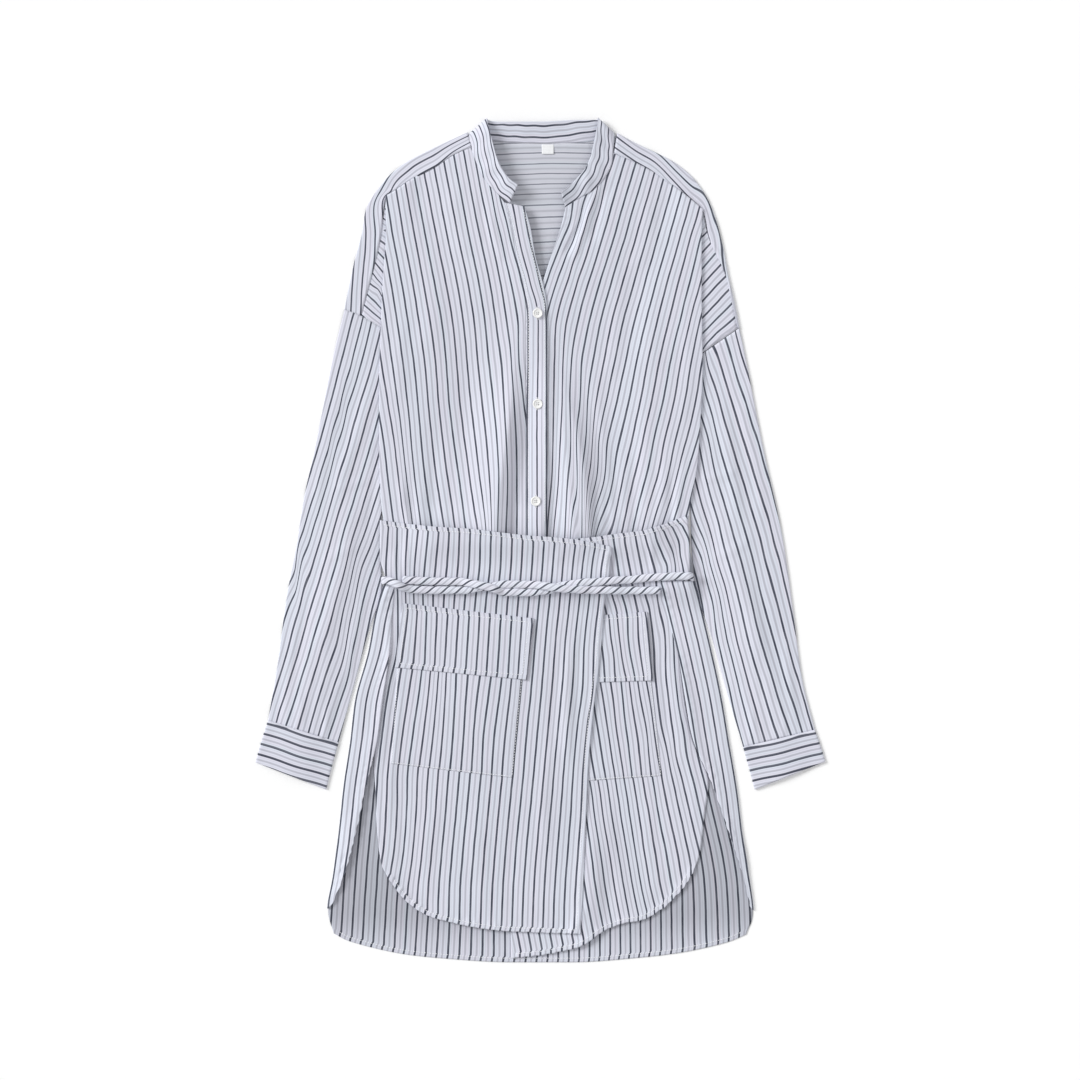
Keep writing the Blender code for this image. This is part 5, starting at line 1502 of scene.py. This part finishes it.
def button(node, x, y):
    """Returns the height of its underside."""
    reach = np.array([-BUTTON_RADIUS, 0, BUTTON_RADIUS])
    seat = float(placket_height(x + 0 * reach, y + reach).max()) + CLOTH / 2 + BUTTON_SEAT_GAP
    angle = np.linspace(0, 2 * math.pi, BUTTON_SIDES + 1)
    rings = [
        np.stack([x + r * np.cos(angle), y + r * np.sin(angle), np.full(angle.shape, seat + h)], axis=-1)
        for r, h in BUTTON_OUTLINE
    ]
    made = make(node, [grid(rings, 0.0)], [SHELL], f"{node}_shell", wall=0)
    for hole in range(4):
        turned = math.pi / 4 + hole * math.pi / 2
        bpy.ops.mesh.primitive_cylinder_add(
            vertices=HOLE_SIDES,
            radius=HOLE_RADIUS * MM,
            depth=3 * BUTTON_HEIGHT * MM,
            location=(
                (x + HOLE_OFFSET * math.cos(turned)) * MM,
                (y + HOLE_OFFSET * math.sin(turned)) * MM,
                (seat + BUTTON_HEIGHT / 2) * MM,
            ),
        )
        cutter = bpy.context.object
        cut = made.modifiers.new(f"hole_{hole}", "BOOLEAN")
        cut.operation, cut.solver, cut.object = "DIFFERENCE", "EXACT", cutter
        bpy.context.view_layer.objects.active = made
        bpy.ops.object.modifier_apply(modifier=cut.name)
        bpy.data.objects.remove(cutter, do_unlink=True)
    made.data.shade_smooth()
    made.data.set_sharp_from_angle(angle=BUTTON_SHARP)
    return seat


def label():
    """A bare woven tape, doubled, with its ends turned under."""
    x, y = np.meshgrid(
        np.linspace(LABEL_LEFT, LABEL_RIGHT, LABEL_COLUMNS), np.linspace(LABEL_TOP, LABEL_BOTTOM, LABEL_ROWS)
    )
    edge = np.minimum(x - LABEL_LEFT, LABEL_RIGHT - x)
    bow = 0.22 * np.sin(math.pi * (x - LABEL_LEFT) / (LABEL_RIGHT - LABEL_LEFT))
    z = LABEL_HEIGHT + bow - 0.15 * (edge < 0.3) + 0.05 * np.sin(y * 1.9)
    wall = np.where(edge < 1.6, 0.45, 0.15)
    make("size_label", [grid(np.dstack([x, y, z]), 0.0, wall)], [TAPE], "size_label_tape")


SEATS = [button(f"button_{n}", x, y) for n, (x, y) in enumerate(BUTTON_CENTRES, start=1)]
label()


# ---------------------------------------------------------------- stitches

STITCH_LENGTH = 2.1
STITCH_STEP = 2.9
THREAD_RADIUS = 0.31
STITCH_SIDES = 6
STITCH_RISE = 0.08
RAY_START = 0.1  # metres above the surface that the dress lies on
STITCH_PROFILE = ((-0.5, 0.25, -0.16), (-0.36, 0.85, 0.0), (0.36, 0.85, 0.0), (0.5, 0.25, -0.16))
HEM_STITCH = 4.2  # from the edge to the stitches
POUCH_STITCH = 1.4
FLAP_STITCH = 4.6
PLACKET_STITCH = 2.4
BUTTONHOLE_LENGTH = 13.0
BUTTONHOLE_STEP = 0.55
BUTTON_THREAD_RADIUS = 0.24
BUTTON_THREAD_HEIGHT = 1.78  # over the button's underside


def capsules(name, threads, radius=THREAD_RADIUS):
    """Short threads, each from its start to its end, as one mesh."""
    starts, ends = np.array(threads, float).swapaxes(0, 1)
    forward = unit(ends - starts)
    side = unit(np.cross(forward, (0.0, 0.0, 1.0)))
    up = np.cross(side, forward)
    angle = (2 * math.pi * np.arange(STITCH_SIDES) / STITCH_SIDES)[None, :, None]
    ring = side[:, None] * np.cos(angle) + up[:, None] * np.sin(angle)
    rings = [
        ((starts + ends) / 2 + (ends - starts) * at + (0, 0, sink))[:, None] + ring * radius * wide
        for at, wide, sink in STITCH_PROFILE
    ]
    points = np.stack(rings, axis=1)
    index = np.arange(len(rings) * STITCH_SIDES).reshape(len(rings), STITCH_SIDES)
    after = np.roll(index, -1, axis=1)
    quads = np.stack([index[:-1], after[:-1], after[1:], index[1:]], axis=-1).reshape(-1, 4)
    one = quads.tolist() + [index[0, ::-1].tolist(), index[-1].tolist()]
    faces = [[n * index.size + v for v in face] for n in range(len(starts)) for face in one]
    mesh = bpy.data.meshes.new(name)
    mesh.from_pydata((points.reshape(-1, 3) * MM).tolist(), [], faces)
    mesh.materials.append(THREAD)
    mesh.shade_smooth()
    made = linked(name, mesh)
    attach(made, "root")


def inset(line, by, towards):
    """A line of points moved sideways, towards a place."""
    run = unit(np.gradient(line, axis=0))
    normal = np.stack([-run[:, 1], run[:, 0]], axis=1)
    middle = len(line) // 2
    if np.dot(normal[middle], towards - line[middle]) < 0:
        normal = -normal
    return line + normal * by


def top_of(made):
    """Height of a finished piece seen from above, at any place."""
    tree = BVHTree.FromObject(made, bpy.context.evaluated_depsgraph_get())

    def height(x, y):
        hit = tree.ray_cast(Vector((x * MM, y * MM, RAY_START)), Vector((0.0, 0.0, -1.0)))[0]
        return None if hit is None else hit.z / MM

    return height


def stitch_row(line, height, start, end):
    """Stitches along a line, on a surface."""
    lengths = running(line)
    stitches = []
    for at in np.arange(start + 0.5, lengths[-1] - end - STITCH_LENGTH, STITCH_STEP):
        places = [[np.interp(s, lengths, side) for side in line.T] for s in (at, at + STITCH_LENGTH)]
        levels = [height(*place) for place in places]
        if None not in levels:
            stitches.append([(*place, z + STITCH_RISE) for place, z in zip(places, levels)])
    return stitches


def sew(name, rows):
    capsules(name, [stitch for row in rows for stitch in row])


def edge_rows(node, sides, inward, towards):
    height, lines = top_of(MADE[node]), sides_of(PLANS[node])
    return [stitch_row(inset(lines[side], inward, towards), height, inward, inward) for side in sides]


def buttonhole(x, y):
    """Close zigzag stitches round an upright slit under the button."""
    half = BUTTONHOLE_LENGTH / 2
    stitches = []
    for at in np.linspace(y - half, y + half, round(BUTTONHOLE_LENGTH / BUTTONHOLE_STEP)):
        for sign in (-1, 1):
            near, far = x + sign * 0.25, x + sign * 1.25
            z = PLACKET_TOP(near, at) + STITCH_RISE
            stitches.append([(near, at, z), (far, at + 0.2, z)])
    return stitches


def button_threads(seat, x, y):
    """Two threads through each pair of holes, slightly crossed."""
    reach = HOLE_OFFSET * math.cos(math.pi / 4)
    z = seat + BUTTON_THREAD_HEIGHT
    return [
        [(x - reach - 0.2, y + dy + lift, z), (x + reach + 0.2, y + dy - lift, z)]
        for dy in (-reach, reach)
        for lift in (0.0, 0.16)
    ]


FLAP_SIDES = ("top", "bottom", "right", "left")
POUCH_SIDES = ("bottom", "right", "left")
EDGE_STITCHES = {  # node, its sides, distance from the edge, a place that they lie towards
    "stitches_skirt_front": (
        ("skirt_over", ("top", "bottom", "left"), HEM_STITCH, (-60, -200)),
        ("skirt_under", ("top", "bottom"), HEM_STITCH, (60, -200)),
    ),
    "stitches_skirt_back": (("skirt_back", ("bottom",), HEM_STITCH, (0, -200)),),
    "stitches_pockets": (
        ("pocket_over", POUCH_SIDES, POUCH_STITCH, (-88, -165)),
        ("pocket_under", POUCH_SIDES, POUCH_STITCH, (55, -170)),
        ("pocket_flap_over", FLAP_SIDES, FLAP_STITCH, (-80, -110)),
        ("pocket_flap_under", FLAP_SIDES, FLAP_STITCH, (45, -115)),
    ),
}
for name, pieces in EDGE_STITCHES.items():
    sew(name, [row for piece in pieces for row in edge_rows(*piece)])
PLACKET_TOP = top_of(MADE["placket"])
placket_lines = [inset(PLANS["placket"][:, column], PLACKET_STITCH, (-4, 200)) for column in (0, -1)]
sew("stitches_placket", [stitch_row(line, PLACKET_TOP, 2, 60) for line in placket_lines])
sew("buttonholes", [buttonhole(x, y) for x, y in BUTTON_CENTRES])
threads = [thread for seat, (x, y) in zip(SEATS, BUTTON_CENTRES) for thread in button_threads(seat, x, y)]
capsules("button_threads", threads, BUTTON_THREAD_RADIUS)
